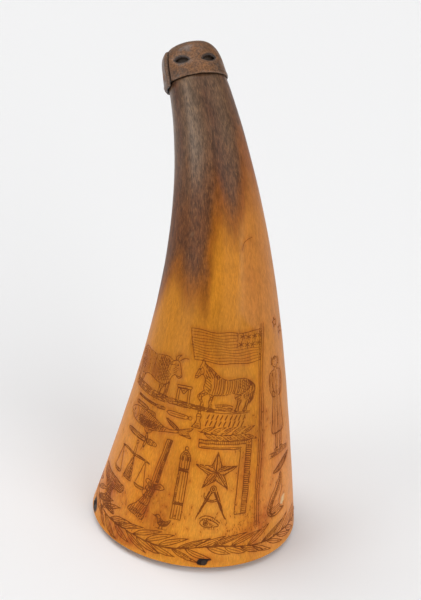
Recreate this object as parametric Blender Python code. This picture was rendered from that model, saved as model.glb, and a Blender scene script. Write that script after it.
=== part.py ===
"""Carved powder horn: a hollow horn, its turned wooden base plug with pegs, and a moulded leather tip cap.

Metres, +Z up. The origin is the middle of the plug's flat underside, on the ground. The horn
leans back towards +Y and to -X as it rises. Angles round the horn are counted from +X, so
-90 degrees faces -Y.
"""
import math

import bmesh
import bpy
from mathutils import Matrix, Vector

# Horn body
RIM_RADIUS = 0.0422
NECK_RADIUS = 0.0117
HORN_LENGTH = 0.1844
WALL_AT_RIM = 0.003
BORE_RADIUS = 0.003
SOLID_TIP_LENGTH = 0.052
RIM_EDGE_ROUND = 0.0004

# How the horn bends, in degrees: constant, straight and cubed shares of the way up
SIDE_LEAN = (3.2, -8.2, -20.5)
BACK_LEAN = (0.0, 18.9, 18.6)
LEVEL_RING_SHARE = 0.3

# How the horn narrows, as shares of the change from rim to neck
SWELL = 0.26
SWELL_LOW = -0.15
WALL_GROWTH = 1.0
CHAMBER_END_POWER = 4

# Spout under the cap, above a shoulder that is cut a little aslant
SHOULDER_STEP = 0.001
SHOULDER_TILT_DEG = 5.5
SPOUT_LENGTH = 0.0122
SPOUT_END_ROUND = 0.0006

# Moulded leather cap
CAP_WALL = 0.0016
CAP_AIR = 0.0025
CAP_TAPER_DEG = 5.0
CROWN_POWER = 4.5
CROWN_ROUND = 3.0
CAP_EDGE_ROUND = 0.0004
LENS_LENGTH = 0.0073
LENS_WIDTH = 0.0029

# Lens-shaped openings: name, degrees from the front, height as a share of the cap's, turn in degrees
LENSES = (("left", -26.0, 0.485, -14.0), ("right", 34.0, 0.435, 7.0))

# Slit and loose flap on the cap's left
SLIT_WIDTH = 0.0005
SLIT_ANGLE_DEG = -60.0
SLIT_TOP_SHARE = 0.84
FLAP_PROUD = 0.0003
FLAP_END_THICKNESS = 0.0009
FLAP_SPAN_DEG = 60.0
FLAP_HANG = 0.0006
FLAP_FULL_SHARE = 0.70
FLAP_TOP_SHARE = 0.90

# Base plug
RIM_LIFT = 0.0023
PLUG_DEPTH = 0.010
PLUG_FOOT_ROUND = 0.0015
PLUG_TOP_CHAMFER = 0.001
FOOT_GROOVE_RADIUS = 0.027
FOOT_GROOVE_WIDTH = 0.002
FOOT_GROOVE_DEPTH = 0.0008

# Pegs that hold the plug
PEG_RADIUS = 0.0013
PEG_LENGTH = 0.009
PEG_RISE = 0.0022
PEG_END_CHAMFER = 0.0003
FIRST_PEG_DEG = -81.5
PEG_PLACES = ("front", "right", "back", "left")

# Clearance kept between pieces that touch, and how finely round forms are cut
FIT = 0.0003
HORN_SIDES = 44
OUTSIDE_ROWS = 26
CHAMBER_ROWS = 16
BORE_ROWS = 8
SPOUT_ROWS = 7
CAP_SIDES = 40
CROWN_ROWS = 11
FLAP_COLUMNS = 6
FLAP_ROWS = 8
ARC_STEPS = 3
LENS_STEPS = 8
PEG_SIDES = 14
SPINE_STEPS = 400
MERGE_DISTANCE = 0.00001

SPOUT_RADIUS = NECK_RADIUS - SHOULDER_STEP
CAP_INNER_HEIGHT = SPOUT_LENGTH + CAP_AIR
CAP_HEIGHT = CAP_INNER_HEIGHT + CAP_WALL
CAP_RADIUS = SPOUT_RADIUS + FIT + CAP_WALL
CHAMBER_LENGTH = HORN_LENGTH - SOLID_TIP_LENGTH


def smooth_step(share):
    """A share from 0 to 1 that starts and ends gently."""
    held = min(max(share, 0.0), 1.0)
    return held * held * (3.0 - 2.0 * held)


def lean_at(terms, share):
    """A lean in radians from its constant, straight and cubed terms."""
    return math.radians(terms[0] + terms[1] * share + terms[2] * share ** 3)


def direction(share, strength=1.0):
    """The way the horn points at a share of its length."""
    side = lean_at(SIDE_LEAN, share) * strength
    back = lean_at(BACK_LEAN, share) * strength
    return Vector((math.sin(side) * math.cos(back), math.sin(back), math.cos(side) * math.cos(back)))


def make_spine():
    """Points along the middle of the horn, from the rim to the shoulder."""
    points = [Vector((0.0, 0.0, RIM_LIFT))]
    for step in range(SPINE_STEPS):
        points.append(points[-1] + direction((step + 0.5) / SPINE_STEPS) * (HORN_LENGTH / SPINE_STEPS))
    return points


SPINE = make_spine()


def spine_point(distance):
    """The middle of the horn at a distance above the rim, straight on past the shoulder."""
    if distance >= HORN_LENGTH:
        return SPINE[-1] + direction(1.0) * (distance - HORN_LENGTH)
    place = distance / HORN_LENGTH * SPINE_STEPS
    step = int(place)
    return SPINE[step].lerp(SPINE[step + 1], place - step)


def horn_frame(distance):
    """Place and turn of the horn's section: X to its side, Y to its back, Z to the tip."""
    share = min(distance / HORN_LENGTH, 1.0)
    along = direction(share, smooth_step(share / LEVEL_RING_SHARE))
    side = (Vector((1.0, 0.0, 0.0)) - along * along.x).normalized()
    turn = Matrix((side, along.cross(side), along)).transposed().to_4x4()
    return Matrix.Translation(spine_point(distance)) @ turn


def horn_radius(distance):
    """Outside radius of the horn at a distance above the rim."""
    share = distance / HORN_LENGTH
    bulge = share * (1.0 - share)
    narrowing = share + SWELL * bulge + SWELL_LOW * bulge * (1.0 - 2.0 * share)
    return RIM_RADIUS + (NECK_RADIUS - RIM_RADIUS) * narrowing


def chamber_radius(distance):
    """Inside radius of the powder chamber, which closes down to the bore."""
    share = min(distance / CHAMBER_LENGTH, 1.0)
    wall = WALL_AT_RIM * (1.0 + WALL_GROWTH * distance / HORN_LENGTH)
    room = horn_radius(distance) - wall - BORE_RADIUS
    return BORE_RADIUS + room * math.sqrt(1.0 - share ** CHAMBER_END_POWER)


def crown_radius(height, radius, full_height):
    """Radius of the cap's tapering wall and rounded crown at a height above the shoulder."""
    straight = radius - height * math.tan(math.radians(CAP_TAPER_DEG))
    return straight * (1.0 - min(height / full_height, 1.0) ** CROWN_POWER) ** (1.0 / CROWN_ROUND)


def slope_at(height):
    """How steeply the cut of the shoulder still shows at a height above it."""
    return math.tan(math.radians(SHOULDER_TILT_DEG)) * max(1.0 - height / CAP_HEIGHT, 0.0)


def slanted_place(height):
    """Place above the shoulder, tipped down to the right like the cut of the shoulder."""
    return Matrix.Translation((0.0, 0.0, height)) @ Matrix.Rotation(math.atan(slope_at(height)), 4, "Y")


def arc(centre, radius, start_deg, end_deg):
    """Points of a small round edge, as (radius, height) pairs."""
    points = []
    for step in range(ARC_STEPS + 1):
        angle = math.radians(start_deg + (end_deg - start_deg) * step / ARC_STEPS)
        points.append((centre[0] + radius * math.cos(angle), centre[1] + radius * math.sin(angle)))
    return points


def add_object(name, mesh, material=None):
    """Put a mesh in the scene under its node's name."""
    piece = bpy.data.objects.new(name, mesh)
    bpy.context.collection.objects.link(piece)
    if material:
        mesh.materials.append(material)
    return piece


def finish_mesh(name, bm):
    """Close a bmesh into a mesh with faces outwards and smooth shading."""
    bmesh.ops.remove_doubles(bm, verts=bm.verts, dist=MERGE_DISTANCE)
    bmesh.ops.recalc_face_normals(bm, faces=bm.faces)
    mesh = bpy.data.meshes.new(name)
    bm.to_mesh(mesh)
    bm.free()
    mesh.shade_smooth()
    mesh.set_sharp_from_angle(angle=math.radians(35.0))
    return mesh


def lofted_mesh(name, sections, sides, closed_loop):
    """Join round sections, each a (frame, radius, height) set, into one skin.

    A closed loop runs back to its first section. Otherwise both ends are filled.
    """
    bm = bmesh.new()
    rings = []
    for frame, radius, height in sections:
        ring = []
        for side in range(sides):
            angle = math.tau * side / sides
            place = Vector((radius * math.cos(angle), radius * math.sin(angle), height))
            ring.append(bm.verts.new(frame @ place))
        rings.append(ring)
    pairs = list(zip(rings, rings[1:]))
    if closed_loop:
        pairs.append((rings[-1], rings[0]))
    else:
        bm.faces.new(rings[0])
        bm.faces.new(rings[-1])
    for low, high in pairs:
        for side in range(sides):
            following = (side + 1) % sides
            bm.faces.new((low[side], low[following], high[following], high[side]))
    return finish_mesh(name, bm)


def turned_mesh(name, profile, sides):
    """Turn (radius, height) points about Z, from axis to axis."""
    bm = bmesh.new()
    points = [bm.verts.new((radius, 0.0, height)) for radius, height in profile]
    edges = [bm.edges.new(pair) for pair in zip(points, points[1:])]
    bmesh.ops.spin(bm, geom=points + edges, cent=(0, 0, 0), axis=(0, 0, 1), dvec=(0, 0, 0),
                   angle=math.tau, steps=sides, use_duplicate=False)
    return finish_mesh(name, bm)


def add_boolean(piece, cutter, operation):
    """Cut or join one object with another, which is left out of the model."""
    boolean = piece.modifiers.new(cutter.name, "BOOLEAN")
    boolean.operation = operation
    boolean.object = cutter
    cutter.hide_render = True
    cutter.display_type = "WIRE"


def make_material(name, color, roughness):
    """A plain finish in the piece's own colour."""
    material = bpy.data.materials.new(name)
    material.use_nodes = True
    shader = material.node_tree.nodes["Principled BSDF"]
    shader.inputs["Base Color"].default_value = (*color, 1.0)
    shader.inputs["Roughness"].default_value = roughness
    shader.inputs["Metallic"].default_value = 0.0
    return material


def make_horn(material):
    """The hollow horn: outside, shoulder, spout, bore and chamber in one closed skin."""
    sections = []
    # Outside, from the rounded rim edge to the neck
    frame = horn_frame(0.0)
    for radius, height in arc((RIM_RADIUS - RIM_EDGE_ROUND, RIM_EDGE_ROUND), RIM_EDGE_ROUND, -90.0, 0.0):
        sections.append((frame, radius, height))
    for row in range(1, OUTSIDE_ROWS):
        distance = 2.0 * RIM_EDGE_ROUND + (HORN_LENGTH - 2.0 * RIM_EDGE_ROUND) * row / OUTSIDE_ROWS
        sections.append((horn_frame(distance), horn_radius(distance), 0.0))
    # Shoulder cut aslant, then the spout with its flat end round the mouth of the bore
    shoulder = horn_frame(HORN_LENGTH)
    sections.append((shoulder @ slanted_place(0.0), NECK_RADIUS, 0.0))
    for row in range(SPOUT_ROWS + 1):
        height = (SPOUT_LENGTH - SPOUT_END_ROUND) * row / SPOUT_ROWS
        radius = crown_radius(height, SPOUT_RADIUS, CAP_INNER_HEIGHT)
        sections.append((shoulder @ slanted_place(height), radius, 0.0))
    end_radius = crown_radius(SPOUT_LENGTH, SPOUT_RADIUS, CAP_INNER_HEIGHT)
    sections.append((shoulder, end_radius - SPOUT_END_ROUND, SPOUT_LENGTH))
    # Bore, from the mouth down to the chamber
    for row in range(BORE_ROWS + 1):
        depth = (SOLID_TIP_LENGTH + SPOUT_LENGTH) * row / BORE_ROWS
        sections.append((horn_frame(HORN_LENGTH + SPOUT_LENGTH - depth), BORE_RADIUS, 0.0))
    # Powder chamber, with rows closer together where it closes
    for row in range(1, CHAMBER_ROWS + 1):
        distance = CHAMBER_LENGTH * math.cos(math.pi / 2.0 * row / CHAMBER_ROWS)
        sections.append((horn_frame(distance), chamber_radius(distance), 0.0))
    return add_object("horn", lofted_mesh("horn", sections, HORN_SIDES, True), material)


def make_plug(material):
    """The turned plug: it fills the mouth and stands a little below the rim."""
    rim_frame = horn_frame(0.0)
    foot_radius = chamber_radius(0.0) - FIT
    foot_edge = (foot_radius - PLUG_FOOT_ROUND, PLUG_FOOT_ROUND - RIM_LIFT)
    groove_out = FOOT_GROOVE_RADIUS + FOOT_GROOVE_WIDTH / 2.0
    groove_in = FOOT_GROOVE_RADIUS - FOOT_GROOVE_WIDTH / 2.0
    groove_bottom = (FOOT_GROOVE_RADIUS, FOOT_GROOVE_DEPTH - RIM_LIFT)
    foot = [(groove_in, -RIM_LIFT), groove_bottom, (groove_out, -RIM_LIFT)]
    foot += arc(foot_edge, PLUG_FOOT_ROUND, -90.0, 0.0)
    sections = [(rim_frame, radius, height) for radius, height in foot]
    for distance in (0.0, (PLUG_DEPTH - PLUG_TOP_CHAMFER) / 2.0, PLUG_DEPTH - PLUG_TOP_CHAMFER):
        sections.append((horn_frame(distance), chamber_radius(distance) - FIT, 0.0))
    top_radius = chamber_radius(PLUG_DEPTH) - FIT - PLUG_TOP_CHAMFER
    sections.append((horn_frame(PLUG_DEPTH), top_radius, 0.0))
    return add_object("base_plug", lofted_mesh("base_plug", sections, HORN_SIDES, False), material)


def peg_frame(place):
    """The outer end of one peg: its Z points out of the horn, level."""
    angle = math.radians(FIRST_PEG_DEG) + math.tau * place / len(PEG_PLACES)
    outwards = Vector((math.cos(angle), math.sin(angle), 0.0))
    middle = spine_point(PEG_RISE)
    seat = Vector((middle.x, middle.y, RIM_LIFT + PEG_RISE)) + outwards * horn_radius(PEG_RISE)
    return Matrix.Translation(seat) @ outwards.to_track_quat("Z", "Y").to_matrix().to_4x4()


def make_peg(place, material):
    """A small round peg, flush with the horn and driven into the plug."""
    profile = [(0.0, -PEG_LENGTH), (PEG_RADIUS - PEG_END_CHAMFER, -PEG_LENGTH)]
    profile += [(PEG_RADIUS, PEG_END_CHAMFER - PEG_LENGTH), (PEG_RADIUS, 0.0), (0.0, PEG_END_CHAMFER)]
    name = "rim_peg_" + PEG_PLACES[place]
    peg = add_object(name, turned_mesh(name, profile, PEG_SIDES), material)
    peg.matrix_world = peg_frame(place)


def make_peg_hole_cutter(place):
    """The hole one peg goes through, open outside and blind in the plug."""
    outside = RIM_EDGE_ROUND + PEG_RADIUS
    profile = [(0.0, -PEG_LENGTH - FIT), (PEG_RADIUS + FIT, -PEG_LENGTH - FIT)]
    profile += [(PEG_RADIUS + FIT, outside), (0.0, outside)]
    name = "peg_hole_" + PEG_PLACES[place]
    cutter = add_object(name, turned_mesh(name, profile, PEG_SIDES))
    cutter.matrix_world = peg_frame(place)
    return cutter


def cap_skin():
    """The cap's turned skin, inside and outside, with an edge that follows the shoulder."""
    profile = []
    for row in range(CROWN_ROWS + 1):
        height = CAP_INNER_HEIGHT * math.cos(math.pi / 2.0 * row / CROWN_ROWS)
        profile.append((crown_radius(height, SPOUT_RADIUS + FIT, CAP_INNER_HEIGHT), height + FIT))
    edge_centre = (CAP_RADIUS - CAP_EDGE_ROUND, CAP_EDGE_ROUND + FIT)
    profile += arc(edge_centre, CAP_EDGE_ROUND, -90.0, 0.0)
    for row in range(1, CROWN_ROWS + 1):
        height = CAP_HEIGHT * math.sin(math.pi / 2.0 * row / CROWN_ROWS)
        profile.append((crown_radius(height, CAP_RADIUS, CAP_HEIGHT), height + FIT))
    mesh = turned_mesh("tip_cap", profile, CAP_SIDES)
    for vertex in mesh.vertices:
        vertex.co.z -= vertex.co.x * slope_at(vertex.co.z)
    return mesh


def cap_direction(angle_deg):
    """A direction round the cap, counted from the front, positive to the right."""
    angle = math.radians(angle_deg - 90.0)
    return Vector((math.cos(angle), math.sin(angle), 0.0))


def flap_mesh():
    """The loose end of the leather: a curved tongue that stands proud and hangs over the neck."""
    bm = bmesh.new()
    top = CAP_HEIGHT * FLAP_TOP_SHARE
    over_neck = NECK_RADIUS * slope_at(0.0) + FIT
    skins = ([], [])
    for row in range(FLAP_ROWS + 1):
        height = -FLAP_HANG + (top + FLAP_HANG) * row / FLAP_ROWS
        if height < over_neck:
            inner = horn_radius(HORN_LENGTH + height - over_neck) + FIT
            least = inner + FLAP_END_THICKNESS
        else:
            inner = crown_radius(height, CAP_RADIUS - CAP_WALL / 2.0, CAP_HEIGHT)
            least = inner
        proud = FLAP_PROUD * smooth_step(height / (CAP_HEIGHT * FLAP_FULL_SHARE))
        outer = max(crown_radius(max(height, 0.0), CAP_RADIUS, CAP_HEIGHT) + proud, least)
        for skin, radius in zip(skins, (inner, outer)):
            skin.append([])
            for column in range(FLAP_COLUMNS + 1):
                angle_deg = SLIT_ANGLE_DEG - FLAP_SPAN_DEG * column / FLAP_COLUMNS
                place = cap_direction(angle_deg) * radius + Vector((0.0, 0.0, height))
                skin[-1].append(bm.verts.new(place))
    for skin in skins:
        for low, high in zip(skin, skin[1:]):
            for column in range(FLAP_COLUMNS):
                bm.faces.new((low[column], low[column + 1], high[column + 1], high[column]))
    borders = []
    for skin in skins:
        far_side = [row[-1] for row in skin[1:-1]]
        near_side = [row[0] for row in skin[1:-1]]
        borders.append(skin[0] + far_side + skin[-1][::-1] + near_side[::-1])
    count = len(borders[0])
    for corner in range(count):
        following = (corner + 1) % count
        bm.faces.new((borders[0][corner], borders[0][following], borders[1][following], borders[1][corner]))
    return finish_mesh("cap_flap", bm)


def lens_cutter(side, angle_deg, rise_share, turn_deg):
    """A pointed-oval opening, cut square through the cap's wall near its front."""
    bm = bmesh.new()
    half_length = LENS_LENGTH / 2.0
    half_width = LENS_WIDTH / 2.0
    bow = (half_length ** 2 + half_width ** 2) / (2.0 * half_width)
    half_turn = math.asin(half_length / bow)
    outline = []
    for edge in (1.0, -1.0):
        for step in range(LENS_STEPS):
            angle = half_turn * (2.0 * step / LENS_STEPS - 1.0) * edge
            outline.append((bow * math.sin(angle), edge * (bow * math.cos(angle) - bow + half_width)))
    face = bm.faces.new([bm.verts.new((across, up, 0.0)) for across, up in outline])
    raised = bmesh.ops.extrude_face_region(bm, geom=[face])
    moved = [item for item in raised["geom"] if isinstance(item, bmesh.types.BMVert)]
    bmesh.ops.translate(bm, verts=moved, vec=(0.0, 0.0, CAP_RADIUS))
    cutter = add_object("lens_opening_" + side, finish_mesh("lens_opening_" + side, bm))
    outwards = cap_direction(angle_deg)
    upwards = Vector((0.0, 0.0, 1.0))
    turn = Matrix((upwards.cross(outwards), upwards, outwards)).transposed().to_4x4()
    turn = turn @ Matrix.Rotation(math.radians(turn_deg), 4, "Z")
    place = outwards * (CAP_RADIUS / 2.0) + upwards * (CAP_HEIGHT * rise_share)
    cutter.matrix_world = horn_frame(HORN_LENGTH) @ Matrix.Translation(place) @ turn
    return cutter


def slit_cutter():
    """The narrow gap between the cap's front and the edge of its flap."""
    bm = bmesh.new()
    bmesh.ops.create_cube(bm, size=1.0)
    low = -FLAP_HANG - CAP_WALL
    high = CAP_HEIGHT * SLIT_TOP_SHARE
    bmesh.ops.scale(bm, vec=(CAP_RADIUS, SLIT_WIDTH, high - low), verts=bm.verts)
    cutter = add_object("flap_slit", finish_mesh("flap_slit", bm))
    outwards = cap_direction(SLIT_ANGLE_DEG)
    upwards = Vector((0.0, 0.0, 1.0))
    turn = Matrix((outwards, upwards.cross(outwards), upwards)).transposed().to_4x4()
    place = outwards * CAP_RADIUS + upwards * ((high + low) / 2.0)
    cutter.matrix_world = horn_frame(HORN_LENGTH) @ Matrix.Translation(place) @ turn
    return cutter


def make_cap(material):
    """The moulded cap with its flap, slit and two lens-shaped openings."""
    shoulder = horn_frame(HORN_LENGTH)
    cap = add_object("tip_cap", cap_skin(), material)
    cap.matrix_world = shoulder
    flap = add_object("cap_flap", flap_mesh())
    flap.matrix_world = shoulder
    add_boolean(cap, flap, "UNION")
    add_boolean(cap, slit_cutter(), "DIFFERENCE")
    for lens in LENSES:
        add_boolean(cap, lens_cutter(*lens), "DIFFERENCE")


def make_model():
    """All pieces of the powder horn."""
    for leftover in list(bpy.data.objects):
        bpy.data.objects.remove(leftover)
    horn_finish = make_material("aged_horn", (0.61, 0.26, 0.035), 0.35)
    wood_finish = make_material("turned_wood", (0.16, 0.075, 0.03), 0.6)
    peg_finish = make_material("dark_wood", (0.03, 0.015, 0.008), 0.65)
    leather_finish = make_material("moulded_leather", (0.22, 0.07, 0.03), 0.45)
    horn = make_horn(horn_finish)
    plug = make_plug(wood_finish)
    for place in range(len(PEG_PLACES)):
        make_peg(place, peg_finish)
        cutter = make_peg_hole_cutter(place)
        add_boolean(horn, cutter, "DIFFERENCE")
        add_boolean(plug, cutter, "DIFFERENCE")
    make_cap(leather_finish)


make_model()
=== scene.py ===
"""Carved powder horn: its engraved skin, plug, pegs, leather cap and their finishes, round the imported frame.

Metres and +Z up, as in the frame. Angles round the horn are counted from the front, which faces -Y,
and grow to the right. Heights run up the middle of the horn from its rim. Carvings are drawn in
millimetres and laid on the skin by an angle and a height.
"""
import math
import random

import bmesh
import bpy
import numpy as np
from bpy.props import FloatProperty, FloatVectorProperty, IntProperty, PointerProperty
from mathutils import Matrix, Vector, kdtree
from mathutils.geometry import delaunay_2d_cdt


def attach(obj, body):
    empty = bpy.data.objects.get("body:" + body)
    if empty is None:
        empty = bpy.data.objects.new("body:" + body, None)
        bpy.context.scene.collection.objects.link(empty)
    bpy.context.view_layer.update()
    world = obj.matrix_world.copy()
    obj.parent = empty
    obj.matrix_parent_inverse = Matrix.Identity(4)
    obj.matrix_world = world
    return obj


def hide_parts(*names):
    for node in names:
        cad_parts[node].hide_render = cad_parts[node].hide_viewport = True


bl_info = {
    "name": "Carved Powder Horn",
    "version": (1, 0, 0),
    "blender": (4, 5, 0),
    "location": "3D Viewport > Sidebar > Powder Horn",
    "description": "Makes an engraved powder horn with its base plug, pegs and leather tip cap",
    "category": "Add Mesh",
}

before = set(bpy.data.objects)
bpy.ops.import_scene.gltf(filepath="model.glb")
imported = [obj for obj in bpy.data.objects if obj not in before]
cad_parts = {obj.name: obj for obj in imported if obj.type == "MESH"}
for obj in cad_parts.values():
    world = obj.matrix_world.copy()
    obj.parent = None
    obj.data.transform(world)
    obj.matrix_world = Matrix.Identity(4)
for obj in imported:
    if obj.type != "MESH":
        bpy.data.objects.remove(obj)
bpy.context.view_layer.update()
MM = 0.001

# How the horn bends, in degrees: constant, straight and cubed shares of the way up
SIDE_LEAN = (3.2, -8.2, -20.5)
BACK_LEAN = (0.0, 18.9, 18.6)
LEVEL_RING_SHARE = 0.3
SPINE_STEPS = 400

# How the horn narrows, and how its chamber closes
SWELL = 0.26
SWELL_LOW = -0.15
WALL_GROWTH = 1.0
CHAMBER_END_POWER = 4

# Carving, in millimetres
STROKE_STEP = 0.7
STROKE_HALF_WIDTH = 0.26
HAND_SWAY = 0.07
HAZE_REACH = 1.1
CURVE_STEPS = 6
PIT_COUNT = 320
GARLAND_LEAVES = 36

# Gaps between the points of the carved skin, in millimetres
POINT_GAP = 0.15
PLAIN_GAP = 1.5
PLAIN_CLEARANCE = 0.55
SAMPLE_GAP = 0.2

# Counts of points round the horn
RIM_SIDES = 176
NECK_SIDES = 72
BORE_SIDES = 32
MOUTH_SIDES = 96
PLUG_SIDES = 128
PEG_SIDES = 20

# Places on the horn's UV map
UV_EDGE = 0.01
UV_SPAN = 0.98
UV_SKIN_HEIGHT = 0.74

# The cap's openings (degrees from the front, share of its height, turn in degrees), slit and flap
LENSES = ((-26, 0.485, -14), (34, 0.435, 7))
SLIT_DEG = -60
SLIT_TOP_SHARE = 0.84
FLAP_FAR_DEG = -120
FLAP_HANG = 0.00195
FLAP_PROUD = 0.0008

# Camera, floor and lights: each light's name and where it comes from
CAMERA_TARGET = (-0.0023554, 0.0, 0.1019834)
FLOOR_HALF = 6
SUNS = (("key_light", (-0.50, 0.28, 0.82)), ("sky_light", (0.0, 0.1, 0.99)),
        ("front_light", (0.60, -0.72, 0.34)), ("window_light", (-0.80, -0.53, 0.26)))


def metres(name, description, default):
    """A length that is shown in the scene's own unit."""
    return FloatProperty(name=name, description=description, default=default,
                         min=0, precision=5, subtype="DISTANCE", unit="LENGTH")


def angle_of(name, description, degrees):
    """An angle whose default is given in degrees."""
    return FloatProperty(name=name, description=description, default=math.radians(degrees),
                         subtype="ANGLE", unit="ROTATION")


def strength_of(name, description, default):
    """The strength of a light."""
    return FloatProperty(name=name, description=description, default=default, min=0, unit="POWER")


def colour_of(name, description, *default):
    """A linear colour."""
    return FloatVectorProperty(name=name, description=description, default=default,
                               size=3, min=0, max=1, subtype="COLOR")


class HornSizes(bpy.types.PropertyGroup):
    """Sizes of the horn."""

    rim_radius: metres("Rim radius", "Outside radius of the horn at its rim", 0.0422)
    neck_radius: metres("Neck radius", "Outside radius at the shoulder under the cap", 0.0117)
    length: metres("Length", "Length along the middle, from the rim to the shoulder", 0.1844)
    wall: metres("Wall", "Thickness of the wall at the rim", 0.003)
    bore_radius: metres("Bore radius", "Radius of the hole through the tip", 0.003)
    solid_tip: metres("Solid tip", "Length of the tip that holds only the bore", 0.052)
    rim_round: metres("Rim round", "Radius of the rim's edge", 0.0004)
    rim_lift: metres("Rim lift", "Height of the rim above the ground", 0.0023)
    spout_length: metres("Spout length", "Length of the spout under the cap", 0.0122)
    shoulder_step: metres("Shoulder step", "How far the spout stands in from the neck", 0.001)
    shoulder_tilt: angle_of("Shoulder tilt", "Slope of the cut under the cap", 5.5)


class CarvingSizes(bpy.types.PropertyGroup):
    """Sizes of the engraving."""

    depth: metres("Depth", "Depth of a knife stroke at its middle", 0.00016)
    seed: IntProperty(name="Seed", description="Start of the carver's random unsteadiness", default=7)


class CapSizes(bpy.types.PropertyGroup):
    """Sizes of the leather cap."""

    wall: metres("Leather", "Thickness of the leather", 0.0016)
    air: metres("Air", "Room between the spout's end and the crown", 0.0025)
    taper: angle_of("Taper", "How the side leans in", 5)
    lens_length: metres("Opening length", "Length of a lens-shaped opening", 0.0073)
    lens_width: metres("Opening width", "Width of a lens-shaped opening", 0.0029)
    slit_width: metres("Slit width", "Width of the slit beside the flap", 0.0005)
    fit: metres("Fit", "Clearance between pieces that touch", 0.0003)


class PlugSizes(bpy.types.PropertyGroup):
    """Sizes of the base plug and its pegs."""

    depth: metres("Depth", "How far the plug reaches into the horn", 0.010)
    foot_round: metres("Foot round", "Radius of the foot's edge", 0.0015)
    groove_radius: metres("Groove radius", "Radius of the groove turned in the foot", 0.027)
    groove_width: metres("Groove width", "Width of that groove", 0.002)
    groove_depth: metres("Groove depth", "Depth of that groove", 0.0008)
    peg_radius: metres("Peg radius", "Radius of a peg", 0.0013)
    peg_length: metres("Peg length", "Length of a peg", 0.009)
    peg_rise: metres("Peg rise", "Height of the pegs above the rim", 0.0022)
    peg_count: IntProperty(name="Pegs", description="Number of pegs round the rim", default=4, min=1)
    first_peg: angle_of("First peg", "Angle of the first peg from +X", -81.5)


class Colours(bpy.types.PropertyGroup):
    """Colours of the finishes."""

    amber: colour_of("Amber", "Clear amber horn", 0.56, 0.205, 0.014)
    # Also a painted highlight: the light number's band along the rim turns to this colour
    honey: colour_of("Honey", "Paler worn horn low at the front", 0.56, 0.225, 0.026)
    rose: colour_of("Rose", "Pinker horn on the sides and at the back", 0.61, 0.235, 0.058)
    umber: colour_of("Umber", "Smoky horn between clear and dark", 0.32, 0.098, 0.008)
    sienna: colour_of("Sienna", "Smoky horn on the right", 0.34, 0.112, 0.036)
    dark: colour_of("Dark horn", "Grey-brown horn towards the tip", 0.148, 0.080, 0.044)
    russet: colour_of("Russet", "Redder dark horn", 0.152, 0.054, 0.019)
    chestnut: colour_of("Chestnut", "Dark horn on the right", 0.180, 0.068, 0.030)
    # Painted highlight: the grey column that the light number lays down the left of the neck
    neck_highlight: colour_of("Smoke", "Pale streaks of the dark horn", 0.200, 0.130, 0.084)
    fleck: colour_of("Flecks", "Ochre flecks in the dark horn", 0.32, 0.16, 0.05)
    # Also a faint painted highlight along the ridge on the right
    bare: colour_of("Bare horn", "Fresh horn in chips and rubbed spots", 0.66, 0.46, 0.24)
    ink: colour_of("Ink", "Stain rubbed into the carving", 0.148, 0.035, 0.003)
    # Also painted shade: the spout under the cap and a thin shadow beside the chip
    soot: colour_of("Soot", "Black smears by the pegs", 0.016, 0.009, 0.007)
    # Painted shade: the spout under the cap, seen through the openings, is made near black
    spout: colour_of("Spout", "Dirty horn under the cap", 0.026, 0.017, 0.012)
    leather: colour_of("Leather", "Moulded leather", 0.124, 0.058, 0.026)
    leather_orange: colour_of("Orange leather", "Redder patches of the leather", 0.190, 0.079, 0.026)
    leather_grey: colour_of("Grey leather", "Faded patches of the leather", 0.14, 0.098, 0.072)
    leather_worn: colour_of("Worn leather", "Rubbed edges of the leather", 0.24, 0.130, 0.070)
    # Painted shade: darkens the cap's inside and the rims of its openings and edges
    leather_shade: colour_of("Deep leather", "Dirt in the hollows of the leather", 0.030, 0.021, 0.018)
    wood: colour_of("Wood", "Turned wood of the plug", 0.15, 0.075, 0.032)
    peg: colour_of("Pegs", "Blackened wood of the pegs", 0.030, 0.016, 0.009)
    floor: colour_of("Floor", "Plain pale floor", 0.86, 0.86, 0.865)


class StageSettings(bpy.types.PropertyGroup):
    """Camera and light."""

    distance: metres("Distance", "Distance from the camera to its target", 0.945)
    lens: FloatProperty(name="Lens", description="Focal length", default=142.184, min=1,
                        subtype="DISTANCE_CAMERA", unit="CAMERA")
    elevation: angle_of("Elevation", "How far the camera looks down", 27.8686)
    roll: angle_of("Roll", "Turn of the camera about its own axis", -6.1584)
    key_light: strength_of("Key light", "Strength of the light from the left", 0.9)
    key_light_width: angle_of("Key size", "How wide the light from the left is", 40)
    sky_light: strength_of("Top light", "Strength of the wide light from above", 1)
    sky_light_width: angle_of("Top size", "How wide the light from above is", 80)
    front_light: strength_of("Front light", "Strength of the light from the front", 1.6)
    front_light_width: angle_of("Front size", "How wide the light from the front is", 50)
    window_light: strength_of("Window", "Strength of the low light from the left", 1)
    window_light_width: angle_of("Window size", "How wide the low light from the left is", 34)
    surround: FloatProperty(name="Surround", description="Strength of the white surroundings",
                            default=0.25, min=0)


class PowderHornSettings(bpy.types.PropertyGroup):
    """Everything a user may change."""

    horn: PointerProperty(type=HornSizes)
    carving: PointerProperty(type=CarvingSizes)
    cap: PointerProperty(type=CapSizes)
    plug: PointerProperty(type=PlugSizes)
    colours: PointerProperty(type=Colours)
    stage: PointerProperty(type=StageSettings)


# Node trees
class Signal:
    """One output of a node. Python's operators on it add Math nodes."""

    def __init__(self, graph, socket):
        self.graph = graph
        self.socket = socket

    def __add__(self, other):
        return self.graph.math("ADD", self, other)

    def __sub__(self, other):
        return self.graph.math("SUBTRACT", self, other)

    def __rsub__(self, other):
        return self.graph.math("SUBTRACT", other, self)

    def __mul__(self, other):
        return self.graph.math("MULTIPLY", self, other)

    def __truediv__(self, other):
        return self.graph.math("DIVIDE", self, other)

    __radd__ = __add__
    __rmul__ = __mul__


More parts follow.
